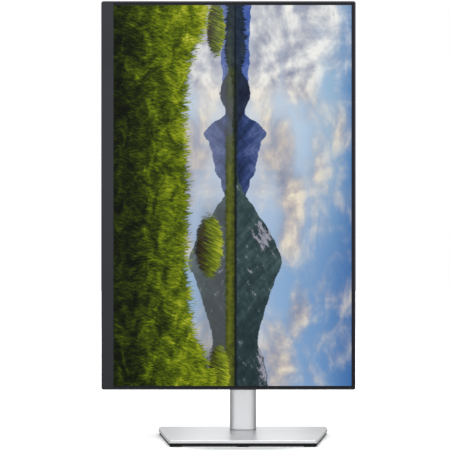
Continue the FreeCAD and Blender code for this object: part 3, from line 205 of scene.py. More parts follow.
# ---------------------------------------------------------------- shared surface effects
def grain_group():
    """Moulded grain: a fine pebble height, and a slow drift of tone with faint handling marks."""
    tree, given, out = node_group("Moulded grain", [("Pebble", VALUE, 900.0), ("Drift", VALUE, 9.0)],
                                  ("Height", "Tone", "Marks"))
    place = object_place(tree)[0]
    fine = noise(tree, place, given["Pebble"], 2.0, 0.6)
    plug(tree, out.inputs["Height"], fine.smooth(0.35, 0.7))
    slow = noise(tree, place, given["Drift"], 3.0, 0.5)
    plug(tree, out.inputs["Tone"], slow * 0.75 + fine * 0.25)
    smear = noise(tree, place, given["Drift"] * 2.7, 5.0, 0.62, 0.6)
    plug(tree, out.inputs["Marks"], smear.smooth(0.52, 0.74))
    return tree


def satin_group():
    """Sprayed satin metal: flakes too small to see singly, a slow drift and a little dust on top faces."""
    tree, given, out = node_group("Satin flake", [("Flake", VALUE, 2600.0), ("Drift", VALUE, 6.0)],
                                  ("Height", "Tone", "Dust"))
    place = object_place(tree)[0]
    flake = tree.nodes.new("ShaderNodeTexVoronoi")
    plug(tree, flake.inputs["Vector"], place)
    plug(tree, flake.inputs["Scale"], given["Flake"])
    cells = Wire(tree, flake.outputs["Distance"])
    slow = noise(tree, place, given["Drift"], 2.0, 0.5)
    plug(tree, out.inputs["Height"], cells)
    plug(tree, out.inputs["Tone"], slow * 0.7 + cells * 0.3)
    facing = tree.nodes.new("ShaderNodeNewGeometry")
    split = tree.nodes.new("ShaderNodeSeparateXYZ")
    tree.links.new(facing.outputs["Normal"], split.inputs[0])
    up = Wire(tree, split.outputs[2]).smooth(0.6, 1.0)
    specks = noise(tree, place, 190.0, 4.0, 0.7).smooth(0.56, 0.72)
    plug(tree, out.inputs["Dust"], up * specks)
    return tree


def brushed_group():
    """Rolled or turned steel: long scratches along one axis and cloudy zinc patches."""
    tree, given, out = node_group("Rolled steel", [("Stretch", DIRECTION, (1.0, 1.0, 1.0))],
                                  ("Height", "Tone"))
    place = object_place(tree)[0]
    scaled = tree.nodes.new("ShaderNodeVectorMath")
    scaled.operation = "MULTIPLY"
    plug(tree, scaled.inputs[0], place)
    plug(tree, scaled.inputs[1], given["Stretch"])
    lines = noise(tree, Wire(tree, scaled.outputs[0]), 1.0, 4.0, 0.6)
    clouds = noise(tree, place, 60.0, 4.0, 0.6)
    plug(tree, out.inputs["Height"], lines)
    plug(tree, out.inputs["Tone"], lines * 0.5 + clouds * 0.5)
    return tree


GRAIN, SATIN, BRUSHED = grain_group(), satin_group(), brushed_group()


def blank(name, **constants):
    """A material with one Principled shader whose constant values are set on its own sockets."""
    material = bpy.data.materials.new(name)
    material.use_nodes = True
    shader = material.node_tree.nodes["Principled BSDF"]
    for label, value in constants.items():
        shader.inputs[label.replace("_", " ")].default_value = value
    return material, material.node_tree, shader


def moulded(name, dark, light, rough=(0.42, 0.6), pebble=900.0, depth=0.00008, **constants):
    """Moulded plastic or rubber: pebble grain, a drift between two tones, and shinier handling marks."""
    material, tree, shader = blank(name, **constants)
    effect = use_group(tree, GRAIN, Pebble=pebble)
    tone = effect["Tone"].smooth(0.3, 0.7)
    plug(tree, shader.inputs["Base Color"], blend_colours(tree, tone, dark, light))
    plug(tree, shader.inputs["Roughness"],
         tone * (rough[1] - rough[0]) + rough[0] - effect["Marks"] * 0.06)
    plug(tree, shader.inputs["Normal"], bump(tree, effect["Height"], depth))
    return material


def satin(name, dark, light):
    """Satin silver finish with flake, drift and a trace of dust on level faces."""
    material, tree, shader = blank(name, Metallic=0.85)
    effect = use_group(tree, SATIN)
    colour = blend_colours(tree, effect["Tone"].smooth(0.25, 0.75), dark, light)
    colour = blend_colours(tree, effect["Dust"] * 0.18, colour, srgb(214, 212, 206))
    plug(tree, shader.inputs["Base Color"], colour)
    plug(tree, shader.inputs["Roughness"], effect["Tone"] * 0.1 + 0.29 + effect["Dust"] * 0.12)
    plug(tree, shader.inputs["Normal"], bump(tree, effect["Height"], 0.00001))
    return material


def metal(name, dark, light, stretch, rough=0.32):
    """Bare or plated metal, with scratches stretched along the axis where stretch is smallest."""
    material, tree, shader = blank(name, Metallic=1.0)
    effect = use_group(tree, BRUSHED, Stretch=stretch)
    plug(tree, shader.inputs["Base Color"],
         blend_colours(tree, effect["Tone"].smooth(0.3, 0.7), dark, light))
    plug(tree, shader.inputs["Roughness"], effect["Tone"] * 0.25 + (rough - 0.1))
    plug(tree, shader.inputs["Normal"], bump(tree, effect["Height"], 0.00003))
    return material


def dress(material, *names):
    """Gives CAD nodes a material."""
    for name in names:
        mesh = nodes[name].data
        mesh.materials.clear()
        mesh.materials.append(material)


# ---------------------------------------------------------------- the lit screen
CHIN_WIDE = 16.6 * MM
PICTURE_LONG, PICTURE_SHORT = 518.4 * MM, 324.0 * MM
BLACK, WHITE = (0.0, 0.0, 0.0, 1.0), (1.0, 1.0, 1.0, 1.0)
glass_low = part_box("lcd_glass")[0]
bezel_low, bezel_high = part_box("front_bezel")
picture_left = bezel_low.x + CHIN_WIDE
picture_right = picture_left + PICTURE_SHORT
picture_top = (bezel_low.z + bezel_high.z + PICTURE_LONG) / 2
picture_bottom = picture_top - PICTURE_LONG


def bump_at(u, v, middle_u, middle_v, wide, high):
    """An elliptical hill: 1 at its middle, falling to 0 at its rim and below 0 outside."""
    return 1.0 - ((u - middle_u) / wide).math("POWER", 2.0) - ((v - middle_v) / high).math("POWER", 2.0)


def sky_colours(tree, u, v):
    """Blue that deepens upwards, with clouds where stacked noise plus broad hills passes a level.

    u runs along the picture's long side and v up from its foot, both from 0 to 1. A cloud is bright where
    the noise falls towards its upper side."""
    deep = v.ramp([(0.56, srgb(158, 180, 210)), (0.70, srgb(136, 170, 206)),
                   (0.86, srgb(108, 148, 194)), (1.0, srgb(58, 106, 164))])
    haze = v.ramp([(0.56, srgb(196, 208, 222)), (0.78, srgb(182, 202, 222)),
                   (0.92, srgb(144, 178, 208)), (1.0, srgb(84, 132, 184))])
    base = blend_colours(tree, u.smooth(0.30, 0.75), haze, deep)
    puff = noise(tree, vector(tree, u * 1.6, v * 1.15, 0.0), 4.6, 9.0, 0.56, 0.3)
    above = noise(tree, vector(tree, u * 1.6 + 0.02, v * 1.15 + 0.035, 0.0), 4.6, 9.0, 0.56, 0.3)
    wisp = noise(tree, vector(tree, u * 1.3 + v * 0.5, v * 1.9 - u * 0.4, 4.0), 4.2, 8.0, 0.62, 0.8)
    cover = puff * 1.5 + wisp * 0.9 - 1.24
    banks = ((0.06, 0.77, 0.20, 0.19, 0.75), (0.08, 0.63, 0.26, 0.08, 0.70), (0.37, 0.68, 0.12, 0.10, 0.75),
             (0.20, 0.79, 0.13, 0.09, 0.35), (0.54, 0.74, 0.15, 0.08, 0.50), (0.80, 0.775, 0.09, 0.06, 0.55),
             (0.93, 0.68, 0.14, 0.10, 0.62), (0.54, 0.86, 0.25, 0.06, 0.10), (0.05, 0.95, 0.20, 0.08, 0.30),
             (0.34, 0.96, 0.10, 0.05, 0.30))
    for middle_u, middle_v, wide, high, weight in banks:
        cover = cover + bump_at(u, v, middle_u, middle_v, wide, high).clipped() * weight
    thick = cover.smooth(-0.2, 0.62) * 0.94
    lit = ((puff - above) * 2.6 + wisp * 0.8 + 0.17 + (v - 0.72) * 0.35).clipped()
    cool = lit.ramp([(0.15, srgb(134, 138, 158)), (0.4, srgb(166, 168, 182)),
                     (0.62, srgb(204, 205, 208)), (0.85, srgb(240, 239, 234))])
    warm = lit.ramp([(0.15, srgb(124, 130, 150)), (0.4, srgb(158, 156, 166)),
                     (0.62, srgb(194, 184, 176)), (0.85, srgb(232, 220, 198))])
    cloud = blend_colours(tree, u.smooth(0.15, 0.32), cool, warm)
    return blend_colours(tree, thick, base, cloud)


def land_colours(tree, u, v):
    """Sky with four ridges in front of it, each a height curve along the picture roughened by noise."""
    rough = noise(tree, vector(tree, u * 1.6, v * 0.3, 2.0), 22.0, 9.0, 0.62) - 0.5
    facets = noise(tree, vector(tree, u * 3.4 + v * 2.2, v * 1.0 - u * 0.9, 5.0), 7.0, 9.0, 0.66, 0.25)
    fine = noise(tree, vector(tree, u * 3.0 - v * 2.6, v * 1.4 + u * 0.6, 8.0), 16.0, 6.0, 0.7)
    stone = facets * 0.65 + fine * 0.35
    colour = sky_colours(tree, u, v)

    def ridge(points, jag, paint):
        nonlocal colour
        top = u.curve(points) + rough * jag
        colour = blend_colours(tree, (top - v).smooth(0.0, 0.004), colour, paint)

    blue_stone = stone.ramp([(0.3, srgb(42, 64, 132)), (0.5, srgb(66, 92, 160)), (0.7, srgb(128, 144, 188))])
    ridge([(0.0, 0.582), (0.08, 0.574), (0.16, 0.570), (0.3, 0.555), (0.5, 0.55), (1.0, 0.55)], 0.03,
          blue_stone)
    peak_stone = (stone * 1.3 - 0.17 + (v - 0.585) * 2.2).ramp(
        [(0.28, srgb(26, 38, 70)), (0.44, srgb(48, 66, 112)), (0.58, srgb(84, 98, 144)),
         (0.72, srgb(142, 146, 176))])
    ridge([(0.0, 0.5), (0.25, 0.525), (0.29, 0.562), (0.318, 0.622), (0.339, 0.640), (0.36, 0.622),
           (0.39, 0.612), (0.43, 0.596), (0.47, 0.572), (0.52, 0.55), (1.0, 0.5)], 0.04, peak_stone)
    ridge([(0.0, 0.5), (0.15, 0.51), (0.185, 0.55), (0.225, 0.577), (0.26, 0.565), (0.29, 0.545), (0.33, 0.52),
           (1.0, 0.5)], 0.02, stone.ramp([(0.35, srgb(16, 22, 40)), (0.65, srgb(40, 52, 76))]))
    patch = bump_at(u, v, 0.605, 0.630, 0.05, 0.055).clipped() * 1.1
    streak = bump_at(u, v, 0.93, 0.622, 0.10, 0.026).clipped() * 0.9
    snow = (patch + streak + (fine - 0.5) * 4.5 + (stone - 0.5) * 3.0 - 0.55).smooth(0.0, 0.5)
    rock = (stone + (u - 0.66) * -0.25).ramp(
        [(0.30, srgb(22, 38, 40)), (0.46, srgb(42, 60, 64)), (0.58, srgb(64, 84, 86)),
         (0.74, srgb(112, 124, 126))])
    ridge([(0.0, 0.46), (0.46, 0.525), (0.50, 0.556), (0.54, 0.600), (0.60, 0.662), (0.64, 0.695),
           (0.662, 0.706), (0.69, 0.700), (0.74, 0.670), (0.80, 0.640), (0.85, 0.615), (0.88, 0.608),
           (0.92, 0.628), (0.96, 0.642), (1.0, 0.650)], 0.03,
          blend_colours(tree, snow * 0.72, rock, srgb(168, 166, 182)))
    return colour


def picture_colours(tree, u, v):
    """A lake with mountains: land over the waterline, its rippled mirror image, reeds and a meadow."""
    water = 0.511
    ripple = noise(tree, vector(tree, u * 5.0, v * 70.0, 1.0), 1.6, 4.0, 0.6) - 0.5
    below = (water - v).smooth(0.0, 0.002)
    mirrored = (v - water).math("ABSOLUTE") + water + ripple * below * 0.016
    colour = land_colours(tree, u + ripple * below * 0.008, mirrored)
    colour = blend_colours(tree, below * 0.12, colour, srgb(196, 198, 206))
    shaded = u.smooth(0.48, 0.56) * v.smooth(0.33, 0.40)
    colour = blend_colours(tree, below * shaded * 0.35, colour, srgb(44, 42, 38))

    grit = noise(tree, vector(tree, u * 60.0, v * 34.0, 3.0), 1.0, 6.0, 0.68)
    trunks = noise(tree, vector(tree, u * 110.0, 0.5, 6.0), 1.0, 3.0, 0.7)
    crown = u.curve([(0.0, 0.045), (0.10, 0.055), (0.16, 0.045), (0.20, 0.02), (0.33, 0.016), (0.5, 0.012),
                     (1.0, 0.014)])
    wood = (crown * (trunks * 1.5 + 0.1) - (v - water).math("ABSOLUTE")).smooth(0.0, 0.004)
    bark = grit.ramp([(0.35, srgb(12, 20, 26)), (0.7, srgb(40, 54, 58))])
    colour = blend_colours(tree, wood * 0.92, colour, bark)
    shore = (v - 0.466 - (grit - 0.5) * 0.03).smooth(0.0, 0.008) * (0.512 - v).smooth(0.0, 0.004)
    shore = shore * u.curve([(0.0, 0.1), (0.15, 0.25), (0.2, 0.5), (0.3, 0.25), (0.36, 0.8), (0.5, 1.0),
                             (1.0, 1.0)])
    meadow = (grit * 0.8 + (v - 0.488).math("ABSOLUTE") * -9.0 + 0.25).ramp(
        [(0.2, srgb(20, 26, 10)), (0.45, srgb(52, 60, 12)), (0.65, srgb(88, 96, 16)),
         (0.85, srgb(122, 124, 44))])
    colour = blend_colours(tree, shore * 0.92, colour, meadow)
    line = (0.005 - (v - water).math("ABSOLUTE")).smooth(0.0, 0.004)
    colour = blend_colours(tree, line * 0.85, colour, srgb(14, 18, 18))

    blades = noise(tree, vector(tree, u * 260.0 + v * 22.0, v * 21.0, 7.0), 1.0, 4.0, 0.74, 0.7)
    lean = noise(tree, vector(tree, u * 230.0 - v * 70.0, v * 19.0, 9.0), 1.0, 4.0, 0.74, 0.5)
    tufts = noise(tree, vector(tree, u * 20.0, v * 17.0, 4.0), 1.0, 6.0, 0.62, 0.8)
    reeds = ((0.06, 0.430, 0.078, 0.042, 0.0), (0.632, 0.403, 0.087, 0.062, 0.0),
             (0.965, 0.440, 0.080, 0.050, 0.02))
    for middle_u, middle_v, wide, high, light in reeds:
        mound = bump_at(u, v, middle_u, middle_v, wide, high)
        clump = (mound + (blades - 0.5) * 1.6 + (tufts - 0.5) * 0.8).smooth(0.0, 0.3)
        paint = ((lean - 0.5) * 1.5 + (v - middle_v) * 6.0 + 0.52 + light).ramp(
            [(0.15, srgb(20, 15, 4)), (0.34, srgb(52, 42, 8)), (0.50, srgb(70, 82, 4)),
             (0.68, srgb(112, 128, 8)), (0.86, srgb(168, 176, 44))])
        colour = blend_colours(tree, clump * 0.95, colour, paint)

    edge = u.curve([(0.0, 0.40), (0.05, 0.395), (0.10, 0.362), (0.144, 0.335), (0.20, 0.318), (0.30, 0.308),
                    (0.42, 0.314), (0.51, 0.322), (0.58, 0.318), (0.66, 0.312), (0.76, 0.328), (0.86, 0.345),
                    (0.91, 0.385), (0.96, 0.42), (1.0, 0.45)])
    field = (edge + (blades - 0.5) * 0.16 + (tufts - 0.5) * 0.05 - v).smooth(-0.003, 0.006)
    sunlit = (blades - 0.5) * 0.68 + (lean - 0.5) * 0.66 + (tufts - 0.5) * 1.05
    sunlit = sunlit + v.smooth(-0.04, 0.34) * 0.40 + 0.16
    sunlit = sunlit + u.curve([(0.0, 0.06), (0.3, 0.02), (0.6, 0.0), (1.0, 0.01)])
    grass = sunlit.ramp([(0.10, srgb(6, 10, 0)), (0.28, srgb(29, 39, 1)), (0.44, srgb(61, 76, 2)),
                         (0.58, srgb(99, 117, 6)), (0.72, srgb(145, 156, 24)), (0.90, srgb(204, 204, 84))])
    return blend_colours(tree, field, colour, grass)


def screen_material():
    """Anti-glare glass: emits the picture inside the active area and shows a black mask around it."""
    material, tree, shader = blank("Anti-glare panel", Roughness=0.36, Specular_IOR_Level=0.04,
                                   Emission_Strength=1.0)
    place, x, y, z = object_place(tree)
    u = (picture_top - z) / PICTURE_LONG
    v = (x - picture_left) / PICTURE_SHORT
    soft = 0.0004
    inside = (x - picture_left).smooth(0.0, soft) * (picture_right - x).smooth(0.0, soft)
    inside = inside * (z - picture_bottom).smooth(0.0, soft) * (picture_top - z).smooth(0.0, soft)
    inside = inside * (glass_low.y + 0.2 * MM - y).smooth(0.0, 0.0001)
    painted = picture_colours(tree, u, v)
    plug(tree, shader.inputs["Emission Color"], blend_colours(tree, inside, BLACK, painted))
    plug(tree, shader.inputs["Base Color"],
         blend_colours(tree, inside, srgb(30, 30, 33), srgb(2, 2, 3)))
    plug(tree, shader.inputs["Normal"], bump(tree, noise(tree, place, 5200.0, 1.0), 0.000012))
    return material


# ---------------------------------------------------------------- materials of the CAD nodes
dress(screen_material(), "lcd_glass")
dress(satin("Satin silver stand", srgb(204, 205, 207), srgb(219, 220, 222)),
      "base_plate", "column_front_cover", "column_rear_cover", "column_cap", "arm_cover")
dress(moulded("Bezel plastic", srgb(30, 31, 35), srgb(36, 37, 42), rough=(0.38, 0.5), pebble=2600.0,
              depth=0.00003, Specular_IOR_Level=0.14),
      "front_bezel")
dress(moulded("Rear cover plastic", srgb(44, 45, 48), srgb(54, 55, 59), rough=(0.5, 0.64), pebble=1100.0,
              depth=0.00012),
      "rear_cover")
dress(moulded("Black base plastic", srgb(15, 15, 17), srgb(21, 21, 23), rough=(0.5, 0.65),
              Specular_IOR_Level=0.12),
      "base_bottom_cover")
dress(moulded("Black cover plastic", srgb(24, 24, 26), srgb(33, 33, 36)),
      "cable_ring", "hinge_shroud", "latch_guide", "panel_frame", "ac_inlet")
dress(moulded("Key plastic", srgb(34, 35, 38), srgb(42, 43, 47), rough=(0.3, 0.42), pebble=3000.0,
              depth=0.00002),
      "power_button", "release_button", "joystick_cap")
dress(moulded("Foot rubber", srgb(18, 18, 18), srgb(30, 30, 30), rough=(0.75, 0.9), pebble=1600.0,
              depth=0.0001),
      "base_feet")
dress(moulded("White acetal", srgb(222, 220, 212), srgb(236, 235, 228), rough=(0.3, 0.4), depth=0.00002),
      "swivel_washer", "slider_pads", "pivot_washer")
dress(metal("Zinc plated sheet", srgb(150, 152, 154), srgb(196, 198, 198), (900.0, 900.0, 40.0)),
      "base_weight", "column_rail", "panel_back_pan", "board_chassis", "mount_plate", "tilt_bracket",
      "release_latch", "catch_plate")
dress(metal("Cast zinc", srgb(138, 139, 142), srgb(172, 173, 175), (500.0, 500.0, 500.0), rough=0.45),
      "column_foot", "carriage", "head_bracket", "spring_drum")
dress(metal("Turned dark steel", srgb(58, 58, 60), srgb(92, 92, 94), (60.0, 1600.0, 1600.0), rough=0.35),
      "tilt_pin", "tilt_washers", "tilt_nut", "pivot_shaft", "pivot_nut", "swivel_nut")
dress(metal("Black zinc screws", srgb(34, 34, 37), srgb(62, 62, 66), (800.0, 800.0, 800.0), rough=0.4),
      "base_screws", "column_screw", "head_screws", "rear_screws")
dress(metal("Spring steel", srgb(112, 116, 124), srgb(168, 172, 178), (900.0, 60.0, 60.0), rough=0.24),
      "spring_strip", "spring_coil", "latch_spring")
dress(metal("Turned brass", srgb(176, 140, 72), srgb(216, 182, 108), (1500.0, 60.0, 1500.0), rough=0.28),
      "vesa_inserts")
dress(metal("Tinned shells", srgb(158, 158, 154), srgb(206, 206, 200), (300.0, 900.0, 900.0), rough=0.26),
      "video_sockets", "usb_sockets")
dress(moulded("White film", srgb(226, 230, 234), srgb(240, 242, 244), rough=(0.2, 0.3), depth=0.00001),
      "optical_sheets")
dress(moulded("Stick parts", srgb(60, 60, 62), srgb(80, 80, 82)), "joystick_ring", "joystick_cradle")


def acrylic():
    """Clear acrylic light guide printed with an even grid of white dots."""
    material, tree, shader = blank("Clear acrylic", Roughness=0.08, Transmission_Weight=0.6, IOR=1.49)
    _, x, _, z = object_place(tree)
    pitch = 4.0 * MM
    dots = (x / pitch * math.tau).math("SINE") * (z / pitch * math.tau).math("SINE")
    plug(tree, shader.inputs["Base Color"],
         blend_colours(tree, dots.smooth(0.5, 0.7), srgb(222, 232, 232), srgb(250, 250, 250)))
    return material


def circuit_board():
    """Green solder mask over straight copper runs, and dark or grey parts above the board's surface."""
    material, tree, shader = blank("Circuit board", Coat_Weight=0.4, Coat_Roughness=0.2)
    place, x, y, z = object_place(tree)
    bricks = tree.nodes.new("ShaderNodeTexBrick")
    plug(tree, bricks.inputs["Vector"], vector(tree, x, z, 0.0))
    for label, value in (("Scale", 90.0), ("Mortar Size", 0.035), ("Brick Width", 0.9), ("Row Height", 0.12)):
        bricks.inputs[label].default_value = value
    runs = Wire(tree, bricks.outputs["Fac"])
    vias = tree.nodes.new("ShaderNodeTexVoronoi")
    plug(tree, vias.inputs["Vector"], place)
    vias.inputs["Scale"].default_value = 260.0
    pads = (Wire(tree, vias.outputs["Distance"]) * -1.0 + 0.22).smooth(0.0, 0.04)
    colour = blend_colours(tree, runs * 0.7, srgb(14, 62, 34), srgb(26, 92, 50))
    colour = blend_colours(tree, pads * 0.8, colour, srgb(196, 170, 104))
    tall = (y - (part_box("main_board")[0].y + 2.0 * MM)).smooth(0.0, 0.0002)
    kinds = noise(tree, place, 40.0, 0.0).smooth(0.45, 0.55)
    parts = blend_colours(tree, kinds, srgb(28, 28, 30), srgb(120, 122, 126))
    colour = blend_colours(tree, tall, colour, parts)
    plug(tree, shader.inputs["Base Color"], colour)
    plug(tree, shader.inputs["Roughness"], runs * 0.1 + 0.3)
    plug(tree, shader.inputs["Normal"], bump(tree, runs, 0.00003))
    return material


def lens():
    """Milky light pipe, lit white from inside."""
    material, tree, shader = blank("Milky light pipe", Roughness=0.25, Subsurface_Weight=0.3,
                                   Emission_Strength=1.2)
    place = object_place(tree)[0]
    cloud = noise(tree, place, 500.0, 2.0)
    plug(tree, shader.inputs["Base Color"],
         blend_colours(tree, cloud, srgb(206, 210, 214), srgb(232, 234, 236)))
    plug(tree, shader.inputs["Emission Color"],
         blend_colours(tree, cloud, srgb(150, 156, 164), srgb(190, 194, 200)))
    return material


dress(acrylic(), "light_guide")
dress(circuit_board(), "main_board", "power_board", "key_board", "led_bar", "joystick_base")
dress(lens(), "button_lens")


# ---------------------------------------------------------------- new pieces
def mesh_piece(name, points, faces, material, body, smooth=True):
    """A named piece from arrays of points and faces, riding on a body."""
    mesh = bpy.data.meshes.new(name)
    mesh.from_pydata(np.asarray(points, float).tolist(), [],
                     [tuple(int(i) for i in face) for face in faces])
    mesh.validate()
    mesh.materials.append(material)
    if smooth:
        mesh.polygons.foreach_set("use_smooth", [True] * len(mesh.polygons))
    piece = bpy.data.objects.new(name, mesh)
    bpy.context.scene.collection.objects.link(piece)
    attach(piece, body)
    return piece


def tube_faces(rows, columns):
    """Quads between rings of points stored ring by ring, each ring closed on itself."""
    row, column = np.meshgrid(np.arange(rows - 1), np.arange(columns), indexing="ij")
    after = (column + 1) % columns
    quads = np.stack([row * columns + column, row * columns + after, (row + 1) * columns + after,
                      (row + 1) * columns + column], -1)
    return quads.reshape(-1, 4)


def swept_band(line, across, thick, wide):
    """A flat band: a line of points in a plane, thickened within it and widened along across."""
    line = np.asarray(line, float)
    along = np.gradient(line, axis=0)
    along /= np.linalg.norm(along, axis=1)[:, None]
    side = np.cross(along, across)
    thicker, wider = side * thick / 2, np.asarray(across) * wide / 2
    corners = [line + thicker * a + wider * b for a, b in ((-1, -1), (1, -1), (1, 1), (-1, 1))]
    points = np.stack(corners, 1)
    rows = len(line)
    faces = [tuple(face) for face in tube_faces(rows, 4)]
    faces += [(0, 1, 2, 3), tuple((rows - 1) * 4 + i for i in (3, 2, 1, 0))]
    return points.reshape(-1, 3), faces


def wound_spring():
    """The constant-force spring as a spiral: radius grows evenly with the angle, from the drum outwards."""
    low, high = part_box("spring_coil")
    middle = (np.array(low) + np.array(high)) / 2
    inner, outer = 4.6 * MM, (high.z - low.z) / 2 - 0.1 * MM
    turns, band, side_play = 9, 0.24 * MM, 5 * MM
    angle = np.linspace(0, turns * math.tau, turns * 40 + 1)
    radius = inner + (outer - inner) * angle / angle[-1]
    line = np.stack([np.full_like(angle, middle[0]), middle[1] + radius * np.cos(angle),
                     middle[2] + radius * np.sin(angle)], 1)
    points, faces = swept_band(line, (1.0, 0.0, 0.0), band, (high.x - low.x) - side_play)
    piece = mesh_piece("wound_spring", points, faces, nodes["spring_coil"].data.materials[0],
                       "spring_reel")
    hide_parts("spring_coil")


def coiled_wire():
    """The latch's return spring as a helix: a small ring of points carried steadily round and along X."""
    low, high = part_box("latch_spring")
    middle_y, middle_z = (low.y + high.y) / 2, (low.z + high.z) / 2
    turns, wire = 7, 0.3 * MM
    radius = (high.z - low.z) / 2 - wire
    angle = np.linspace(0, turns * math.tau, turns * 28 + 1)[:, None]
    sides = 8
    ring = np.linspace(0, math.tau, sides, endpoint=False)[None, :]
    reach = radius + wire * np.cos(ring)
    points = np.stack([low.x + wire + (high.x - low.x - 2 * wire) * angle / angle[-1] + wire * np.sin(ring),
                       middle_y + reach * np.cos(angle), middle_z + reach * np.sin(angle)], -1)
    faces = [tuple(face) for face in tube_faces(len(angle), sides)]
    last = (len(angle) - 1) * sides
    faces += [tuple(range(sides)), tuple(last + i for i in range(sides))[::-1]]
    piece = mesh_piece("coiled_wire", points.reshape(-1, 3), faces,
                       nodes["latch_spring"].data.materials[0], "display")
    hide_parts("latch_spring")
    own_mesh(piece)


def thin_shapes(name, outlines, right, up, lift, material):
    """Film on the display: each outline is a closed slab with rounded corners, standing lift proud.

    An outline is (middle, half right, half up, corner radius)."""
    right, up = np.array(right), np.array(up)
    out = np.cross(right, up)
    sunk = 0.02 * MM
    count = 40
    points, faces = [], []
    for index, (middle, half_right, half_up, radius) in enumerate(outlines):
        start = 2 * count * index
        turn = np.linspace(0, math.tau, count, endpoint=False) + math.tau / (2 * count)
        across = np.sign(np.cos(turn)) * (half_right - radius) + radius * np.cos(turn)
        along = np.sign(np.sin(turn)) * (half_up - radius) + radius * np.sin(turn)
        ring = np.array(middle) + across[:, None] * right + along[:, None] * up
        points += [ring - out * sunk, ring + out * lift]
        faces += [start + count + np.arange(count), start + np.arange(count)[::-1]]
        faces += list(start + tube_faces(2, count))
    mesh_piece(name, np.vstack(points), faces, material, "display", smooth=False)


def label_material():
    """A pale rating label with printed rules and word-like blocks, and no lettering."""
    material, tree, shader = blank("Printed label", Roughness=0.4)
    place, x, _, z = object_place(tree)
    line = x / (3.2 * MM)
    rows = (line * math.tau).math("SINE")
    words = noise(tree, vector(tree, line.math("FLOOR") * 7.0, z * 420.0, 0.0), 1.0, 0.0)
    ink = rows.smooth(0.45, 0.6) * words.smooth(0.44, 0.48)
    grain = noise(tree, place, 300.0, 3.0)
    paper = blend_colours(tree, grain, srgb(176, 178, 180), srgb(196, 198, 200))
    plug(tree, shader.inputs["Base Color"], blend_colours(tree, ink * 0.85, paper, srgb(60, 60, 62)))
    plug(tree, shader.inputs["Normal"], bump(tree, ink + grain * 0.2, 0.00002))
    return material


def mark_material():
    """Pad-printed light grey ink with slightly broken edges."""
    material, tree, shader = blank("Printed marks", Roughness=0.55)
    place = object_place(tree)[0]
    worn = noise(tree, place, 900.0, 4.0, 0.7).smooth(0.35, 0.5)
    plug(tree, shader.inputs["Base Color"],
         blend_colours(tree, worn, srgb(96, 97, 99), srgb(164, 166, 168)))
    plug(tree, shader.inputs["Normal"], bump(tree, worn, 0.00001))
    return material


def rear_print():
    """What is printed on the back: a rating label on the hump, a release mark and a mark at each socket."""
    paper_thick, ink_thick = 0.12 * MM, 0.08 * MM
    left, up, back = (-1.0, 0.0, 0.0), (0.0, 0.0, 1.0), (0.0, 1.0, 0.0)
    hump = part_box("rear_cover")[1].y
    pivot_x = sum(corner.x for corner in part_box("mount_plate")) / 2
    pivot_z = (bezel_low.z + bezel_high.z) / 2
    label = [((pivot_x - 80 * MM, hump, pivot_z - 106 * MM), 19 * MM, 28 * MM, 2 * MM)]
    thin_shapes("rating_label", label, left, up, paper_thick, label_material())
    ink = mark_material()
    bars = [((pivot_x - 76 * MM, hump, pivot_z + (18 + 2.4 * i) * MM), (3.4 - i) * MM, 0.5 * MM, 0.4 * MM)
            for i in range(3)]
    thin_shapes("release_mark", bars, left, up, ink_thick, ink)
    wall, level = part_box("usb_sockets")[0].x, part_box("usb_sockets")[1].y + 4 * MM
    marks = []
    for rise in (100, 40, 12, -24, -56, -78, -98):
        marks.append(((wall, level, pivot_z + rise * MM), 2.6 * MM, 0.35 * MM, 0.3 * MM))
        marks.append(((wall, level + 2.2 * MM, pivot_z + rise * MM), 1.4 * MM, 0.9 * MM, 0.5 * MM))
    thin_shapes("socket_marks", marks, up, back, ink_thick, ink)


wound_spring()
coiled_wire()
rear_print()


# ---------------------------------------------------------------- floor, light and camera
axis_x = sum(corner.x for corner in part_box("column_foot")) / 2


def split_rays(tree, for_others, for_camera, out):
    """Shows one shader to rays from the camera and another to all other rays."""
    path, pick = tree.nodes.new("ShaderNodeLightPath"), tree.nodes.new("ShaderNodeMixShader")
    tree.links.new(path.outputs["Is Camera Ray"], pick.inputs[0])
    tree.links.new(for_others.outputs[0], pick.inputs[1])
    tree.links.new(for_camera.outputs[0], pick.inputs[2])
    tree.links.new(pick.outputs[0], out.inputs["Surface"])


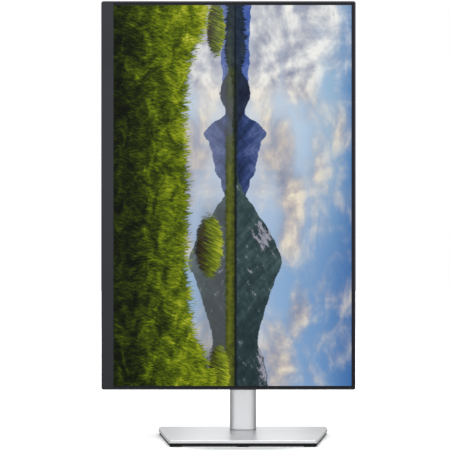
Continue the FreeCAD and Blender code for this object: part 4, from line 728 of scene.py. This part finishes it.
def stage_floor():
    """A pale floor with a soft contact shade in front of the base.

    Rays from the camera meet the pale floor, and all other rays meet a dimmer sheet, so that the stand's
    metal doesn't wash out."""
    half = 6.0
    points = [(-half, -half, 0.0), (half, -half, 0.0), (half, half, 0.0), (-half, half, 0.0)]
    mesh = bpy.data.meshes.new("studio_floor")
    mesh.from_pydata(points, [], [(0, 1, 2, 3)])
    material, tree, shader = blank("Pale floor", Roughness=0.7, Specular_IOR_Level=0.1,
                                   Emission_Strength=1.0)
    place, x, y, _ = object_place(tree)
    far = (x * x + y * y).math("SQRT").smooth(0.15, 0.6)
    cloud = noise(tree, place, 3.0, 2.0)
    pale = blend_colours(tree, cloud, srgb(242, 242, 242), srgb(246, 246, 246))
    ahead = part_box("base_plate")[0].y - y
    aside = ((x - axis_x).math("ABSOLUTE") - 0.03).smooth(0.0, 0.08)
    contact = ahead.smooth(-0.008, 0.012) * (1.0 - ahead.smooth(0.008, 0.07)) * (1.0 - aside)
    plug(tree, shader.inputs["Base Color"],
         blend_colours(tree, contact * 0.7, pale, srgb(168, 168, 169)))
    glow = blend_colours(tree, far, (0.18, 0.18, 0.18, 1.0), WHITE)
    plug(tree, shader.inputs["Emission Color"], blend_colours(tree, contact, glow, BLACK))
    reflected = tree.nodes.new("ShaderNodeEmission")
    shade = 0.24 + (1.0 - y.smooth(0.05, 0.3)) * 0.28 + (y * -1.0).smooth(0.25, 0.8) * 1.8
    plug(tree, reflected.inputs["Color"], shade)
    split_rays(tree, reflected, shader, tree.nodes["Material Output"])
    mesh.materials.append(material)
    floor = bpy.data.objects.new("studio_floor", mesh)
    bpy.context.scene.collection.objects.link(floor)


def area_light(name, place, aim, size, power, shiny=True):
    """A soft box at place, turned to aim; shiny says whether polished faces mirror it."""
    light = bpy.data.lights.new(name, "AREA")
    light.shape = "RECTANGLE"
    light.size, light.size_y = size
    light.energy = power
    lamp = bpy.data.objects.new(name, light)
    lamp.visible_glossy = shiny
    lamp.visible_camera = False
    lamp.location = place
    lamp.rotation_euler = (Vector(aim) - Vector(place)).to_track_quat("-Z", "Y").to_euler()
    bpy.context.scene.collection.objects.link(lamp)


def studio():
    """White all round for the camera, and a softer room with dim sides for everything else."""
    world = bpy.data.worlds.new("studio")
    world.use_nodes = True
    bpy.context.scene.world = world
    tree = world.node_tree
    tree.nodes.clear()
    out = tree.nodes.new("ShaderNodeOutputWorld")
    room, backdrop = tree.nodes.new("ShaderNodeBackground"), tree.nodes.new("ShaderNodeBackground")
    backdrop.inputs["Color"].default_value = WHITE
    way = tree.nodes.new("ShaderNodeTexCoord").outputs["Generated"]
    split = tree.nodes.new("ShaderNodeSeparateXYZ")
    tree.links.new(way, split.inputs[0])
    across, deep, up = [Wire(tree, socket) for socket in split.outputs]
    ahead = (deep * -1.0).smooth(-0.3, 0.85)
    behind = deep.smooth(0.3, 0.98)
    above = up.smooth(0.35, 0.95)
    sideways = across.math("ABSOLUTE")
    edge_dark = deep.smooth(0.1, 0.5) * sideways.smooth(0.12, 0.35)
    level = ahead * 1.12 + behind * 0.34 + above * 0.04 + 0.47 - edge_dark * 0.22
    below = (up * -1.0).smooth(0.0, 0.3)
    plug(tree, room.inputs["Color"], (level * (1.0 - below * 0.3)).math("MAXIMUM", 0.04))
    split_rays(tree, room, backdrop, out)
    area_light("key", (-0.35, -1.1, 1.5), (0.0, 0.0, 0.40), (1.3, 0.7), 9.0)
    area_light("overhead", (0.0, -0.2, 2.4), (0.0, 0.0, 0.0), (1.6, 1.6), 14.0)
    area_light("back_fill", (0.4, 2.4, 1.6), (0.0, 0.0, 0.3), (2.0, 1.6), 34.0, shiny=False)
    area_light("plate_glow", (0.02, 0.80, 0.20), (0.02, 0.0, 0.0), (0.22, 0.16), 0.09)
    bpy.context.scene.view_settings.view_transform = "Standard"


def long_camera():
    """A long lens held level, straight in front of the stand, which the shift puts right of centre."""
    away, high = 2613 * MM, 296.6 * MM
    camera = bpy.data.cameras.new("camera")
    camera.sensor_width = 36.0
    camera.lens = 153.72
    camera.shift_x = -0.04
    holder = bpy.data.objects.new("camera", camera)
    holder.location = (axis_x, bezel_low.y - away, high)
    holder.rotation_euler = (math.pi / 2, 0.0, 0.0)
    bpy.context.scene.collection.objects.link(holder)
    bpy.context.scene.camera = holder


stage_floor()
studio()
long_camera()
